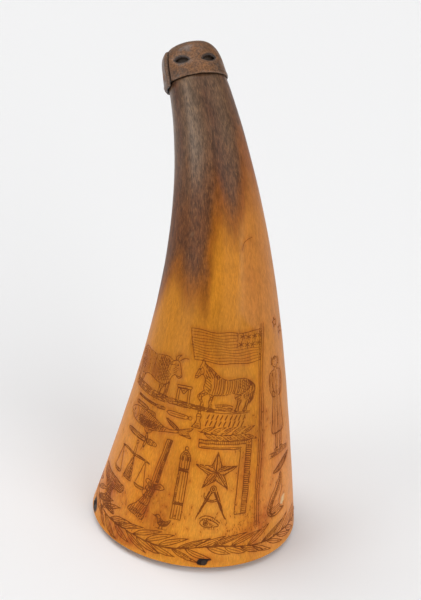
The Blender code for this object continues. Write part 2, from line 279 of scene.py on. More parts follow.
class Graph:
    """A node tree in the making, with one way to add any node."""

    def __init__(self, tree):
        self.tree = tree

    def node(self, kind, settings=None, values=None, output=0):
        """Add a node: its settings first, then the values or links of its sockets."""
        made = self.tree.nodes.new(kind)
        count = len(self.tree.nodes)
        made.location = (count // 6 * 220, -(count % 6) * 260)
        for key, setting in (settings or {}).items():
            setattr(made, key, setting)
        for key, value in (values or {}).items():
            if isinstance(value, Signal):
                self.tree.links.new(value.socket, made.inputs[key])
            else:
                made.inputs[key].default_value = value
        return Signal(self, made.outputs[output]) if made.outputs else made

    def math(self, operation, *terms):
        """A Math node on numbers."""
        return self.node("ShaderNodeMath", {"operation": operation}, dict(enumerate(terms)))

    def between(self, value, low, high, new_low=0.0, new_high=1.0):
        """A gentle step from one value to another."""
        return self.node("ShaderNodeMapRange", {"interpolation_type": "SMOOTHSTEP"},
                         {"Value": value, "From Min": low, "From Max": high, "To Min": new_low,
                          "To Max": new_high})


class Finish(Graph):
    """A material in the making."""

    def __init__(self, name, **plain):
        self.material = bpy.data.materials.new(name)
        self.material.use_nodes = True
        super().__init__(self.material.node_tree)
        self.tree.nodes.clear()
        surface = self.node("ShaderNodeBsdfPrincipled", None, plain)
        self.shader = surface.socket.node
        self.node("ShaderNodeOutputMaterial", None, {"Surface": surface})

    def set(self, name, value):
        """Lead a signal into the surface shader."""
        self.tree.links.new(value.socket, self.shader.inputs[name])

    def stored(self, name, kind="Fac"):
        """A number stored on the mesh's points, or with kind Vector a place."""
        return self.node("ShaderNodeAttribute", {"attribute_name": name}, None, kind)

    def noise(self, vector, scale, detail=2.0, roughness=0.5):
        """Noise from 0 to 1 at coordinates in metres, scaled by axis."""
        scaled = self.node("ShaderNodeVectorMath", {"operation": "MULTIPLY"}, {0: vector, 1: scale})
        return self.node("ShaderNodeTexNoise", None, {"Vector": scaled, "Scale": 1, "Detail": detail,
                                                      "Roughness": roughness}, "Fac")

    def mix(self, share, first, second, blend="MIX"):
        """A colour between two others."""
        values = {0: share}
        for key, colour in ((6, first), (7, second)):
            values[key] = colour if isinstance(colour, Signal) else (*colour, 1)
        return self.node("ShaderNodeMix", {"data_type": "RGBA", "blend_type": blend}, values, 2)

    def tint(self, share, colour, factor):
        """A colour multiplied by another, as far as a share asks."""
        return self.mix(share, colour, factor, "MULTIPLY")

    def grey(self, value):
        """A number made a grey, for use as a colour."""
        return self.node("ShaderNodeCombineColor", None, {0: value, 1: value, 2: value})

    def bump(self, height, distance, strength=1.0, under=None):
        """Fine relief from a height signal, over an earlier one."""
        values = {"Height": height, "Distance": distance, "Strength": strength}
        if under:
            values["Normal"] = under
        return self.node("ShaderNodeBump", None, values)


def lighter(colour, factor):
    """A colour made lighter or darker."""
    return tuple(min(part * factor, 1) for part in colour)


# Shape of the horn
def smooth(share):
    """A share from 0 to 1 that starts and ends gently, for numbers or arrays."""
    held = np.clip(share, 0, 1)
    return held * held * (3 - 2 * held)


def ramp(value, start, end):
    """A gentle rise from 0 to 1 between two values."""
    return smooth((value - start) / (end - start))


def bell(value, middle, width):
    """A soft hill of height 1."""
    return np.exp(-((value - middle) / width) ** 2)


def columns(*parts):
    """Coordinates side by side, one row for each point."""
    return np.stack(np.broadcast_arrays(*parts), axis=-1)


def round_place(angle, radius, *height):
    """Places at an angle from the front and a radius, with or without a height."""
    return columns(radius * np.sin(angle), -radius * np.cos(angle), *height)


class HornShape:
    """The bend and thickness of the horn. Angles are from the front, heights in metres from the rim."""

    def __init__(self, sizes):
        self.sizes = sizes
        steps = (np.arange(SPINE_STEPS) + 0.5) / SPINE_STEPS
        runs = self.direction(steps, 1.0) * (sizes.length / SPINE_STEPS)
        start = np.array([[0, 0, sizes.rim_lift]])
        self.spine = np.vstack([start, start + np.cumsum(runs, axis=0)])
        self.chamber_length = sizes.length - sizes.solid_tip
        self.even_heights = np.linspace(0, sizes.length, 2 * SPINE_STEPS)
        per_radius = 1 / self.radius(self.even_heights)
        rises = np.diff(self.even_heights) * (per_radius[1:] + per_radius[:-1]) / 2
        self.even_values = np.append(0, np.cumsum(rises))

    def direction(self, share, strength):
        """The way the horn points at a share of its length."""
        side, back = (np.radians(terms[0] + terms[1] * share + terms[2] * share ** 3) * strength
                      for terms in (SIDE_LEAN, BACK_LEAN))
        return columns(np.sin(side) * np.cos(back), np.sin(back), np.cos(side) * np.cos(back))

    def middle(self, height):
        """Points on the horn's middle line, straight on past the shoulder."""
        height = np.asarray(height, float)
        inside = np.clip(height, 0, self.sizes.length)
        places = inside / self.sizes.length * SPINE_STEPS
        points = columns(*(np.interp(places, np.arange(SPINE_STEPS + 1), line) for line in self.spine.T))
        return points + self.direction(1.0, 1.0) * (height - inside)[..., None]

    def axes(self, height):
        """The section's side, back and upward directions."""
        share = np.clip(np.asarray(height, float) / self.sizes.length, 0, 1)
        along = self.direction(share, smooth(share / LEVEL_RING_SHARE))
        side = np.array([1, 0, 0]) - along * along[..., 0:1]
        side = side / np.linalg.norm(side, axis=-1, keepdims=True)
        return side, np.cross(along, side), along

    def radius(self, height):
        """Outside radius at a height."""
        share = height / self.sizes.length
        bulge = share * (1 - share)
        narrowing = share + SWELL * bulge + SWELL_LOW * bulge * (1 - 2 * share)
        return self.sizes.rim_radius + (self.sizes.neck_radius - self.sizes.rim_radius) * narrowing

    def chamber_radius(self, height):
        """Inside radius of the powder chamber."""
        share = min(height / self.chamber_length, 1)
        wall = self.sizes.wall * (1 + WALL_GROWTH * height / self.sizes.length)
        room = self.radius(height) - wall - self.sizes.bore_radius
        return self.sizes.bore_radius + room * math.sqrt(1 - share ** CHAMBER_END_POWER)

    def point(self, angle, height, radius):
        """Points at an angle, a height and a radius."""
        side, back, _ = self.axes(height)
        turn = np.asarray(angle, float)[..., None]
        reach = np.asarray(radius, float)[..., None]
        return self.middle(height) + reach * (side * np.sin(turn) - back * np.cos(turn))

    def unbent(self, angle, height):
        """Points of the plain skin on a horn with no bend, for gaps and for patterns that run along it."""
        return round_place(angle, self.radius(height), height)

    def even_value(self, height):
        """Heights on a scale that matches angles, so that small shapes keep their form."""
        return np.interp(height, self.even_heights, self.even_values)

    def frame_at(self, height):
        """Place and turn of the section as a matrix."""
        turn = Matrix([Vector(way) for way in self.axes(height)]).transposed().to_4x4()
        return Matrix.Translation(Vector(self.middle(height))) @ turn


# Drawing
def flowing(points, closed=False):
    """A smooth line through key points."""
    keys = np.array(points, float)
    if closed:
        keys = np.vstack([keys[-1:], keys, keys[:2]])
    else:
        keys = np.vstack([2 * keys[:1] - keys[1:2], keys, 2 * keys[-1:] - keys[-2:-1]])
    t = (np.arange(CURVE_STEPS) / CURVE_STEPS)[:, None]
    spans = []
    for before, start, end, after in zip(keys, keys[1:], keys[2:], keys[3:]):
        spans.append(0.5 * (2 * start + (end - before) * t
                            + (2 * before - 5 * start + 4 * end - after) * t ** 2
                            + (3 * start - before - 3 * end + after) * t ** 3))
    return np.vstack(spans + [keys[-2:-1]])


def turned(points, degrees):
    """Flat points turned about zero."""
    turn = math.radians(degrees)
    return columns(points[..., 0] * math.cos(turn) - points[..., 1] * math.sin(turn),
                   points[..., 0] * math.sin(turn) + points[..., 1] * math.cos(turn))


class Drawing:
    """Knife strokes of one figure, in millimetres about its own middle."""

    def __init__(self, dice):
        self.dice = dice
        self.strokes = []

    def line(self, points, width=1.0):
        """A stroke straight from point to point."""
        self.strokes.append((np.array(points, float), width))
        return self.strokes[-1][0]

    def curve(self, points, width=1.0, closed=False):
        """A stroke that flows through its points."""
        return self.line(flowing(points, closed), width)

    def ring(self, x, y, radius, steps=12, width=1.0, tall=1.0):
        """A small circle, or an oval that is taller than wide."""
        turns = np.linspace(0, math.tau, steps + 1)
        return self.line(columns(x + radius * np.cos(turns), y + radius * tall * np.sin(turns)), width)

    def dot(self, x, y, width=1.0):
        """A prick of the knife."""
        self.line([(x - 0.12, y), (x + 0.12, y)], width)

    def hatch(self, outline, gap, slant_deg, width=0.8, bow=0.0, inset=0.25):
        """Strokes side by side inside a closed outline."""
        shape = turned(np.asarray(outline), -slant_deg)
        following = np.roll(shape, -1, axis=0)
        level = shape[:, 1].min() + gap * 0.6
        while level < shape[:, 1].max():
            crosses = (shape[:, 1] > level) != (following[:, 1] > level)
            start, end = shape[crosses], following[crosses]
            places = np.sort(start[:, 0] + (level - start[:, 1]) / (end[:, 1] - start[:, 1])
                             * (end[:, 0] - start[:, 0]))
            for left, right in zip(places[0::2], places[1::2]):
                left += inset + self.dice.random() * 0.3
                right -= inset + self.dice.random() * 0.3
                if right - left > 0.5:
                    t = np.linspace(0, 1, max(int((right - left) / 1.2), 1) + 2)
                    sway = bow * (1 - (2 * t - 1) ** 2) + self.dice.uniform(-0.08, 0.08)
                    self.line(turned(columns(left + (right - left) * t, level + sway), slant_deg), width)
            level += gap * self.dice.uniform(0.85, 1.15)

    def ticks(self, line, length, gap, lean_deg=90.0, width=0.8):
        """Short strokes that leave a line at a slant."""
        line = np.asarray(line, float)
        steps = np.linalg.norm(np.diff(line, axis=0), axis=1)
        runs = np.append(0, np.cumsum(steps)) / steps.sum()

        def at(places):
            return columns(*(np.interp(places, runs, line[:, axis]) for axis in (0, 1)))

        shares = np.arange(gap / 2, steps.sum(), gap) / steps.sum()
        ways = at(np.clip(shares + 0.01, 0, 1)) - at(np.clip(shares - 0.01, 0, 1))
        ways = ways / np.maximum(np.linalg.norm(ways, axis=1, keepdims=True), 1e-9)
        for point, way in zip(at(shares), turned(ways, lean_deg)):
            self.line([point, point + way * length * self.dice.uniform(0.85, 1.1)], width)


# Figures. Each is this file's own plain version of a common folk motif.
def striped_flag(art):
    """A flag that waves from a pole at its right, with small stars by the pole."""

    def wave(x, row):
        return -0.75 * math.sin((x + 15) / 9.6) + 0.22 * math.sin(x / 1.9 + 0.7 * row)

    rows = 12
    fly = [-15.2 + 1.9 * (1 - row / (rows - 1)) ** 1.5 for row in range(rows)]
    levels = [-5.6 + 11.2 * row / (rows - 1) for row in range(rows)]
    for row in range(rows):
        end = 14.6 if row < 6 or row == rows - 1 else 3.4 + 0.3 * (row % 2)
        xs = np.linspace(fly[row], end, 16)
        art.curve([(x, levels[row] + wave(x, row)) for x in xs], 0.5 if 0 < row < rows - 1 else 0.7)
    art.curve([(x, level + wave(x, row)) for row, (x, level) in enumerate(zip(fly, levels))], 0.8)
    art.line([(3.5, -0.4), (3.7, 4.6)], 0.6)
    art.line([(14.6, -5.6), (14.7, 5.4)], 0.6)
    for row in range(2):
        for column in range(4):
            x = 5.2 + 2.7 * column + 0.6 * row
            y = 1.1 + 2.8 * row + wave(x, 8)
            for turn in range(3):
                angle = math.radians(84 + 60 * turn + 9 * column)
                off = (1.25 * math.cos(angle), 1.2 * math.sin(angle))
                art.line([(x - off[0], y - off[1]), (x + off[0], y + off[1])], 0.7)


def horse(art):
    """A horse that steps to the left."""
    body = art.curve([(-12, 3.5), (-11.3, 2.8), (-10.1, 3.9), (-8.9, 4.7), (-7.9, 3.3), (-8, 1.2),
                      (-8.3, -0.6), (-6.8, -2.1), (-4.2, -2.7), (-0.4, -2.7), (3.4, -2), (6, -2.3),
                      (8.7, -1.5), (10.5, -0.4), (10.8, 1.5), (9.4, 3.2), (6.2, 3.5), (2.4, 3), (-0.8, 3.5),
                      (-3, 4.9), (-5.4, 7), (-7.8, 8.5), (-8.9, 10.3), (-9.4, 8.6), (-10.7, 6.3)], 0.85, True)
    art.hatch(body[(body[:, 0] > -7.6) & (body[:, 1] < 5.4)], 0.88, 84, 0.85, -0.35)
    art.hatch(flowing([(-8, 3.2), (-8, 0.4), (-6.9, -1.6), (-5.2, -1), (-5.2, 2.6), (-6.6, 4.6)], True), 0.85,
              -34, 0.7)
    art.hatch([(-8, 5.2), (-7.4, 3.2), (-4.4, 2.8), (-3, 4.4), (-5.6, 6.6), (-7.6, 8.2)], 0.8, -58, 0.8)
    art.hatch([(5.8, 3.2), (6, -1.6), (8.6, -1.2), (10.2, 0.4), (9.6, 2.6), (7.8, 3.3)], 1.1, 150, 0.6)
    art.hatch([(-11.4, 3.8), (-9.6, 4.8), (-8.8, 7.8), (-10.4, 6.4)], 0.6, 60, 0.4)
    art.ticks(flowing([(-8.5, 9.2), (-6.2, 7.5), (-4.2, 5.7), (-2.4, 4.3)]), 1.3, 0.5, -58, 0.55)
    legs = [[(-7.8, -1), (-9.4, -2.2), (-10.5, -3.6), (-9.9, -4.7), (-9.1, -6), (-9.4, -7.2), (-8.3, -7.5),
             (-8, -6.5), (-8.5, -5.3), (-9, -4.2), (-8.2, -3.2), (-6.6, -2.4)],
            [(-5.9, -2.4), (-5.7, -4.4), (-6, -5.2), (-5.9, -7.2), (-6.6, -8.4), (-4.8, -8.4), (-4.9, -7.2),
             (-4.7, -5.2), (-4.4, -4.2), (-3.9, -2.7)],
            [(4.6, -2.3), (4.5, -3.6), (5.6, -4.8), (5.6, -6), (5.2, -7.4), (4.5, -8.4), (6.3, -8.4),
             (6.4, -7.2), (6.9, -5.6), (7.4, -4.7), (6.9, -3.6), (7.6, -2.1)],
            [(8, -2), (8.4, -3.4), (9.4, -4.6), (9.2, -6), (8.6, -7.4), (8, -8.4), (9.7, -8.4), (9.9, -7.2),
             (10.5, -5.6), (11, -4.6), (10.5, -3), (10.7, -0.9)]]
    for leg in legs:
        outline = art.curve(leg, 0.8)
        art.hatch(outline, 0.75, 74, 0.7, inset=0.12)
        art.hatch(outline[outline[:, 1] > -5], 0.9, 20, 0.6)
    for tail in range(6):
        spread = tail * 0.34
        art.curve([(9.9 + spread * 0.3, 2.8), (11.4 + spread, 0.6), (11.2 + spread * 1.1, -3),
                   (10.9 + spread * 0.8, -6.2 + 0.3 * tail)], 0.7)
    art.ring(-10, 6.4, 0.26, 6, 0.7)
    art.curve([(-11.8, 3.6), (-11.2, 3.9), (-10.7, 3.7)], 0.6)
    art.curve([(-9, 7.4), (-8.4, 5.8), (-8.8, 4.8)], 0.6)


def ox(art):
    """A horned ox that stands to the right."""
    body = art.curve([(-12.4, 5.4), (-9.8, 6.9), (-5, 6.7), (0, 6.3), (4.4, 7), (7.6, 6.9), (9.6, 5.9),
                      (10.9, 6.3), (12.4, 5.9), (13.3, 4.4), (14, 2.3), (14.7, 0.9), (14.3, -0.1),
                      (13.1, -0.4), (12.1, 0.4), (11.2, 0.7), (10, -0.6), (9.4, -2.2), (8, -3.8), (4, -4),
                      (-2, -2.6), (-6.4, -3.6), (-10.2, -3.4), (-12.4, -1), (-13.2, 2.6)], 0.85, True)
    art.hatch(body[body[:, 0] < 9.6], 0.85, 82, 0.7, 0.25)
    art.hatch(flowing([(2.6, 5.8), (7.4, 6), (9, 3), (8.6, -2), (6, -3.2), (3.4, -2.4)], True), 0.95, 128,
              0.75)
    art.hatch(flowing([(-12.4, 4.4), (-8.6, 5.6), (-6.6, -0.5), (-10.8, -2.6)], True), 1, 46, 0.7)
    art.curve([(10.9, 6.3), (10.7, 7.5), (11.8, 8.4), (13.2, 8.6)], 0.8)
    art.curve([(11.6, 6.3), (11.7, 7.2), (12.3, 7.9), (13.2, 8.6)], 0.7)
    art.curve([(12.4, 6), (13.4, 6.9), (14.8, 7.5), (16.2, 7.4)], 0.8)
    art.curve([(10.7, 5.8), (9.2, 5.6), (8.5, 4.5), (10, 4.3), (11, 5)], 0.7)
    art.ring(12.2, 4.5, 0.28, 6, 0.7)
    art.dot(13.9, 0.9, 0.8)
    art.curve([(12.2, 0.5), (13.2, 0.3), (14.5, 0.2)], 0.6)
    art.hatch([(10.2, 0.6), (12.4, 1.4), (12.6, 3.8), (11.4, 4.6), (9.8, 3)], 0.65, 40, 0.4)
    legs = [[(4.4, -3.9), (5, -6), (4.7, -8), (4.3, -9.4), (6, -9.4), (6, -7.6), (6.4, -5.8), (7.6, -3.8)],
            [(7.8, -3.8), (8.2, -6.4), (7.8, -8), (7.7, -9.2), (9.2, -9.2), (9.2, -7.4), (9.6, -5),
             (9.7, -1.9)],
            [(-8.6, -3.8), (-8.2, -6), (-9.2, -7.6), (-9.4, -9.4), (-7.8, -9.4), (-7.4, -7.4), (-6.4, -5.6),
             (-5.6, -3.4)],
            [(-12.4, -1.4), (-11.9, -5.4), (-12.7, -7.6), (-12.7, -9.3), (-11.1, -9.3), (-10.6, -7.2),
             (-9.9, -4)]]
    for leg in legs:
        art.hatch(art.curve(leg, 0.9), 0.75, 78, 0.7)
    art.curve([(-12.7, 5.2), (-14.2, 3.4), (-14.3, -0.6), (-14, -4.2)], 0.7)
    art.ticks([(-14.1, -2.6), (-14, -5.2)], 1.4, 0.45, -30, 0.5)


def ground(art, start, end, width=2.3, thin_from=1):
    """A strip of ground, hatched along its length, that runs out thin after a share of it."""
    xs = np.linspace(start, end, 14)
    thickness = width * (1 - 0.82 * smooth((xs - start) / (end - start) / thin_from - 0.55))
    top = flowing(columns(xs, 0.25 * np.sin(xs / 5) + thickness - width * 0.5))
    foot = flowing(columns(xs, 0.25 * np.sin(xs / 6 + 1) - width * 0.5))
    art.line(top, 0.9)
    art.line(foot, 0.75)
    for row in np.linspace(0, 1, max(int(width / 0.5), 3) + 1)[1:-1]:
        middle = foot + (top - foot) * row
        room = top[:, 1] - foot[:, 1] > 0.45 * width
        x = start + art.dice.uniform(0, 1.5)
        while x < end - 1:
            reach = art.dice.uniform(3, 8)
            inside = middle[(middle[:, 0] > x) & (middle[:, 0] < min(x + reach, end)) & room]
            if len(inside) > 1:
                art.line(inside, 0.8)
            x += reach + art.dice.uniform(0.3, 0.9)


def trestle(art):
    """A small bench with a brace."""
    art.line([(-3.1, 3.5), (3.3, 3.7), (3.1, 2.7), (-3, 2.5), (-3.1, 3.5)])
    for x in (-2.7, -1.8, 1.8, 2.7):
        art.line([(x, 2.5), (x * 1.08, -3.4)])
    art.line([(-1.8, 2.5), (0, 0.4), (1.8, 2.6)])
    art.hatch([(-1.7, 2.5), (0, 0.5), (1.7, 2.6)], 0.7, 0)


def chisel(art):
    """A chisel above a shorter, thicker one."""
    blade = art.line([(-8.8, 1), (-8.6, 1.9), (3.4, 1.5), (3.4, 0.7), (-8.8, 1)], 0.8)
    art.hatch(blade, 0.4, -2, 0.7, inset=0.1)
    handle = art.curve([(3.8, 0.8), (4.8, 0.3), (7.6, 0.6), (8.4, 1.1), (7.6, 1.7), (4.8, 1.8), (3.8, 1.4)],
                       0.8, True)
    art.hatch(handle, 0.5, 4, 0.6)
    short = art.curve([(-9, -2), (-8.6, -1), (-4.8, -0.8), (-0.6, -1.1), (-0.4, -1.8), (-4.8, -2.2)], 0.8,
                      True)
    art.hatch(short, 0.5, 0, 0.6)


def spoon_and_jug(art):
    """A long-handled tool beside a narrow jug."""
    art.curve([(-6.4, 0), (-4.8, 0.9), (0, 0.8), (2.6, 0.5), (3.2, 0), (2.6, -0.6), (0, -0.9), (-4.8, -0.7)],
              0.85, True)
    art.line([(-4.6, 0.2), (1.8, 0)], 0.55)
    art.ring(4, -0.1, 0.8, 10, 0.85)
    art.line([(5, -3), (8.9, -3.2)])
    art.curve([(5.2, -3), (6.2, -1.4), (6.6, 0.2), (6.2, 1.4), (6.7, 2.4)])
    art.curve([(8.7, -3.1), (8.4, -1.5), (7.9, 0.2), (8.3, 1.4), (7.8, 2.4)])
    art.ring(7.3, 2.7, 0.62, 8, 0.85)
    art.line([(6.3, 1.2), (8.2, 1.2)], 0.7)
    art.hatch([(5.6, -2.9), (6.5, -1.2), (8.1, -1.2), (8.4, -2.9)], 0.55, 0, 0.5)


def stroke_rows(art):
    """Rows of short slanted strokes, in the place of an inscription."""
    for row in range(2):
        for column in range(9):
            x = -7.4 + 1.85 * column + 0.5 * row + art.dice.uniform(-0.14, 0.14)
            y = -1.15 + 2.4 * row
            reach = 0.92 + art.dice.uniform(-0.12, 0.12)
            art.line([(x - 0.42, y - reach), (x + 0.42, y + reach)], 1.35)


def leaf(art, x, y, way_deg, length, width, veins=1, bend=0, weight=0.75):
    """A pointed leaf from its foot, with lines that run down it."""
    way = math.radians(way_deg)
    ahead = np.array([math.cos(way), math.sin(way)])
    across = np.array([-ahead[1], ahead[0]])
    foot = np.array([x, y])
    shares = np.linspace(0, 1, 9)
    sag = bend * length * shares * shares
    for side in (1, -1):
        bulge = sag + side * width / 2 * np.sin(math.pi * shares ** 0.85)
        art.line([foot + ahead * length * s + across * b for s, b in zip(shares, bulge)], weight)
    for vein in range(veins):
        offset = (vein - (veins - 1) / 2) * width / (veins + 1)
        reach = 0.86 - 0.2 * abs(vein - (veins - 1) / 2) - 0.1 * (veins == 1)
        runs = np.linspace(0.05, reach, 6)
        bulge = offset * np.sin(math.pi * runs) + bend * length * runs * runs
        art.line([foot + ahead * length * s + across * b for s, b in zip(runs, bulge)], weight * 0.7)


def leafy_sprig(art, length, leaf_length, pairs):
    """A stem with leaves on both sides, growing to the right."""
    half = length / 2
    art.curve([(-half, 0.5), (-half * 0.5, -0.2), (half * 0.2, -0.3), (half * 0.7, 0), (half, 0.9)], 0.75)
    for pair in range(pairs):
        x = -half + length * (pair + 0.2) / pairs
        leaf(art, x, 0, 30, leaf_length, leaf_length * 0.21, 1, -0.1, 0.7)
        leaf(art, x + length * 0.35 / pairs, -0.2, -24, leaf_length, leaf_length * 0.19, 1, 0.08, 0.7)


def fish(art):
    """A fish that swims to the left."""
    body = art.curve([(-13.6, -0.2), (-11.6, 1.7), (-7.5, 2.8), (-2, 3), (2.6, 2.1), (6.6, 0.8), (10.4, 0),
                      (14, 0.6), (14, -0.4), (10, -1.1), (6, -2.2), (2, -3.1), (-2.6, -3.4), (-7.5, -3.2),
                      (-11.6, -2.2)], 0.85, True)
    tail = art.curve([(14, 0.6), (16.4, 1.6), (20.2, 2.5), (18.6, 0.5), (20.4, -1.3), (16.4, -0.9),
                      (14, -0.4)], 0.85)
    art.hatch(tail, 0.5, 6, 0.5)
    art.curve([(-9, 2.5), (-7.8, 1), (-8, -1.4), (-9.2, -2.9)], 0.8)
    art.ring(-11, 0.5, 0.42, 8, 0.75)
    art.curve([(-13.4, -0.5), (-12.4, -0.9), (-11.6, -0.8)], 0.6)
    art.hatch(body[body[:, 0] > -7.4], 0.8, 64, 0.65, 0.25)
    art.hatch(flowing([(-7, 0.2), (0, 0.6), (8, 0), (5, -1.9), (0, -2.9), (-6, -2.9)], True), 0.7, 8, 0.85)
    art.hatch(flowing([(-6, -0.6), (0, -0.2), (3, -1.4), (0, -2.9), (-5.6, -2.8)], True), 0.75, 118, 0.8)
    art.hatch([(-12.6, -0.7), (-9.4, -0.9), (-9.2, -2.6), (-11.6, -2)], 0.55, 30, 0.5)
    for fin in ([(-3.4, 3), (-1, 4.1), (2, 3.8), (3.2, 1.9)],
                [(-2, -3.4), (-0.6, -4.7), (1.8, -4.5), (3, -2.9)]):
        art.hatch(art.curve(fin, 0.75), 0.5, 70, 0.45)


def short_knife(art):
    """A small broad blade."""
    blade = art.curve([(-3.2, 1.3), (-1, 0.8), (2.2, -0.8), (2.8, -1.7), (0.4, -1.4), (-1.8, -0.1)], 1.05,
                      True)
    art.hatch(blade, 0.5, -30, 0.8)


def carpenters_square(art):
    """A square with its marks."""
    art.line([(-11, 14), (11, 14), (11, -14), (5.8, -14), (6.2, 11), (-11, 11), (-11, 14)])
    art.line([(-11, 12.7), (8.6, 12.7), (8.6, -14)], 0.85)
    art.line([(-10, 11.6), (6.6, 11.6)], 0.6)
    art.ticks([(-10.6, 12.8), (9, 12.8)], 1.15, 0.78, width=0.75)
    art.ticks([(8.7, -13.8), (8.7, 12.4)], -2.2, 0.8, 84, 0.85)
    art.hatch([(8.8, 12.8), (10.8, 12.8), (10.8, 13.8), (8.8, 13.8)], 0.5, 40)


def faceted_star(art, size, squash=1):
    """A five-pointed star with one side of each ray hatched."""
    tips, nooks = [], []
    for ray in range(5):
        angle = math.radians(90 + 72 * ray)
        tips.append((size * math.cos(angle), size * squash * math.sin(angle)))
        angle += math.radians(36)
        nooks.append((size * 0.4 * math.cos(angle), size * 0.4 * squash * math.sin(angle)))
    for ray in range(5):
        art.line([nooks[ray - 1], tips[ray], nooks[ray]], 0.95)
        if size > 4:
            lean = 90 + 72 * ray
            art.line([(0, 0), tips[ray]], 0.8)
            art.line([(0, 0), nooks[ray]], 0.7)
            art.hatch([(0, 0), tips[ray], nooks[ray]], 0.62, lean, 0.75, inset=0.12)
            art.hatch([(0, 0), tips[ray], nooks[ray - 1]], 0.85, lean, 0.5, inset=0.2)


def dividers(art):
    """Open dividers, with their arc."""
    art.ring(0, 0, 1.25, 14, 1.1)
    art.ring(0, 0, 0.55, 8)
    for side in (-1, 1):
        leg = art.line([(side * 0.2, -1.1), (side * 5.9, -11.6), (side * 1.7, -0.9)], 1.1)
        art.line([(side * 0.9, -1.6), (side * 4.6, -8.8)], 0.9)
        art.hatch(leg, 0.6, 118 if side > 0 else 62, 0.8, inset=0.1)
    art.curve([(-3.4, -1.6), (-3.6, -3.4), (-2, -4.7), (0, -5), (2.2, -4.5)], 1.05)
    art.curve([(-2.9, -3), (-1.6, -4), (0, -4.3), (1.6, -4)], 0.8)


def open_eye(art):
    """A plain eye with lashes, a common folk sign."""
    art.curve([(-3.9, 0.2), (-2.2, 1.7), (0.8, 1.3), (4, -1), (0.6, -1.4), (-2.4, -1.3)], 1.15, True)
    art.ring(-1.4, 0.1, 1, 12, 1.1)
    art.ring(-1.4, 0.1, 0.45, 6, 1.1)
    art.curve([(-4.2, 1.6), (-2.4, 2.9), (0.8, 2.5), (4.4, 0.2)], 1)
    art.ticks([(-3.4, 0.9), (2.2, 1)], 0.9, 0.8, 80, 0.6)
    art.ticks([(-2.4, -1.5), (2, -1.7)], 0.9, 0.8, -70, 0.6)
    art.hatch([(-0.2, 1), (2.8, -0.6), (0.6, -1.2), (-0.4, -0.9)], 0.6, 20, 0.6)


def banded_column(art):
    """A tall banded case with a pointed lid."""
    art.line([(-2, 11), (-2.1, -13.4), (2.1, -13.4), (2, 11)], 1.1)
    for x in (-1.1, 0.1, 1.1):
        art.line([(x, -13), (x, 11.2 - abs(x) * 0.4)], 0.8)
    for y in (6.2, 5.2, -6.6, -7.6):
        art.line([(-2, y), (2, y)], 1)
    art.hatch([(-1.9, 5.2), (1.9, 5.2), (1.9, 6.2), (-1.9, 6.2)], 0.35, 0, inset=0.1)
    art.hatch([(-1.9, -7.5), (1.9, -7.5), (1.9, -6.7), (-1.9, -6.7)], 0.35, 0, inset=0.1)
    art.hatch([(-1.9, 5.2), (-1.1, 5.2), (-1.1, -6.6), (-2, -6.6)], 0.5, 86, 0.6, inset=0.1)
    for half, rise in ((2.2, 13.2), (1.4, 12.2), (0.7, 11.6)):
        art.curve([(-half, 9.4), (-half * 0.9, 11.2), (0, rise), (half * 0.9, 11.2), (half, 9.4)])
    art.ring(0, 13.9, 0.7, 8, 1.1)


def long_gun(art):
    """A flintlock with its stock downwards."""
    left = flowing([(-1.3, 1.6), (-0.6, 7), (0.6, 13), (1.6, 19)])
    right = flowing([(1.7, 1.8), (2.3, 7), (3.2, 13), (4.1, 19)])
    art.line(left)
    art.line(right, 1.1)
    art.line([left[-1], right[-1]])
    for share, width in ((0.36, 0.9), (0.6, 0.9), (0.8, 1)):
        art.line(left * (1 - share) + right * share, width)
    art.hatch(np.vstack([left * 0.35 + right * 0.65, right[::-1]]), 0.55, 76, 0.8, inset=0.1)
    art.curve([(-1.2, 1.6), (-3.4, 2), (-4, 0.8), (-2.6, -0.2), (-3.4, -1.6), (-1.8, -2.6)], 1.1)
    art.curve([(1.6, 1.4), (3, 1.8), (5, 0.6), (3.2, -0.6), (1.2, -0.6)], 1.1)
    art.hatch([(-3.4, 1.7), (2.6, 1.5), (4.4, 0.6), (2.6, -0.7), (-2.2, -1.6), (-2.4, -0.2)], 0.6, 14)
    art.hatch([(-3, 1.4), (1.6, 1.4), (1.2, -1.4), (-2.2, -1.6)], 0.7, 100)
    art.ring(-0.4, 0.2, 0.7, 8, 1.2)
    stock = art.line(flowing([(-1.9, -1), (-3.4, -4.6), (-6.2, -8.6), (-10.2, -12.6), (-6.2, -13.6),
                              (-1.6, -14), (-0.9, -9.6), (0.1, -4.8), (1.1, -1)]))
    art.line([stock[-1], stock[0]])
    art.hatch(stock, 0.85, 64, 0.7)
    art.hatch(stock[stock[:, 1] > -6.4], 0.75, 118, 0.85)
    art.hatch([(-8.6, -11.2), (-1.6, -11.6), (-1.8, -13.6), (-9.6, -12.6)], 0.55, 0, 0.7)
    art.line([(-5.6, -7.8), (-0.8, -8.2)])
    art.curve([(-2.4, -2.2), (-4.4, -2.8), (-4.2, -4.6), (-2.8, -4.6)], 0.8)


def dagger(art):
    """A dagger that points left."""
    blade = art.curve([(-9.4, 0), (-7.6, 0.8), (-2, 1), (3, 0.8), (3, -0.8), (-2, -1), (-7.6, -0.7)],
                      closed=True)
    art.hatch(blade, 0.65, 0)
    guard = art.curve([(2.8, 2.4), (3.8, 2.6), (4.3, 0), (3.6, -2.7), (2.6, -2.5), (3.2, 0)], closed=True)
    art.hatch(guard, 0.6, 90)
    handle = art.curve([(4.5, 0.8), (6.6, 1.1), (8.8, 0.7), (9.6, 0), (8.8, -0.7), (6.6, -0.9), (4.5, -0.8)],
                       closed=True)
    art.hatch(handle, 0.7, 74)


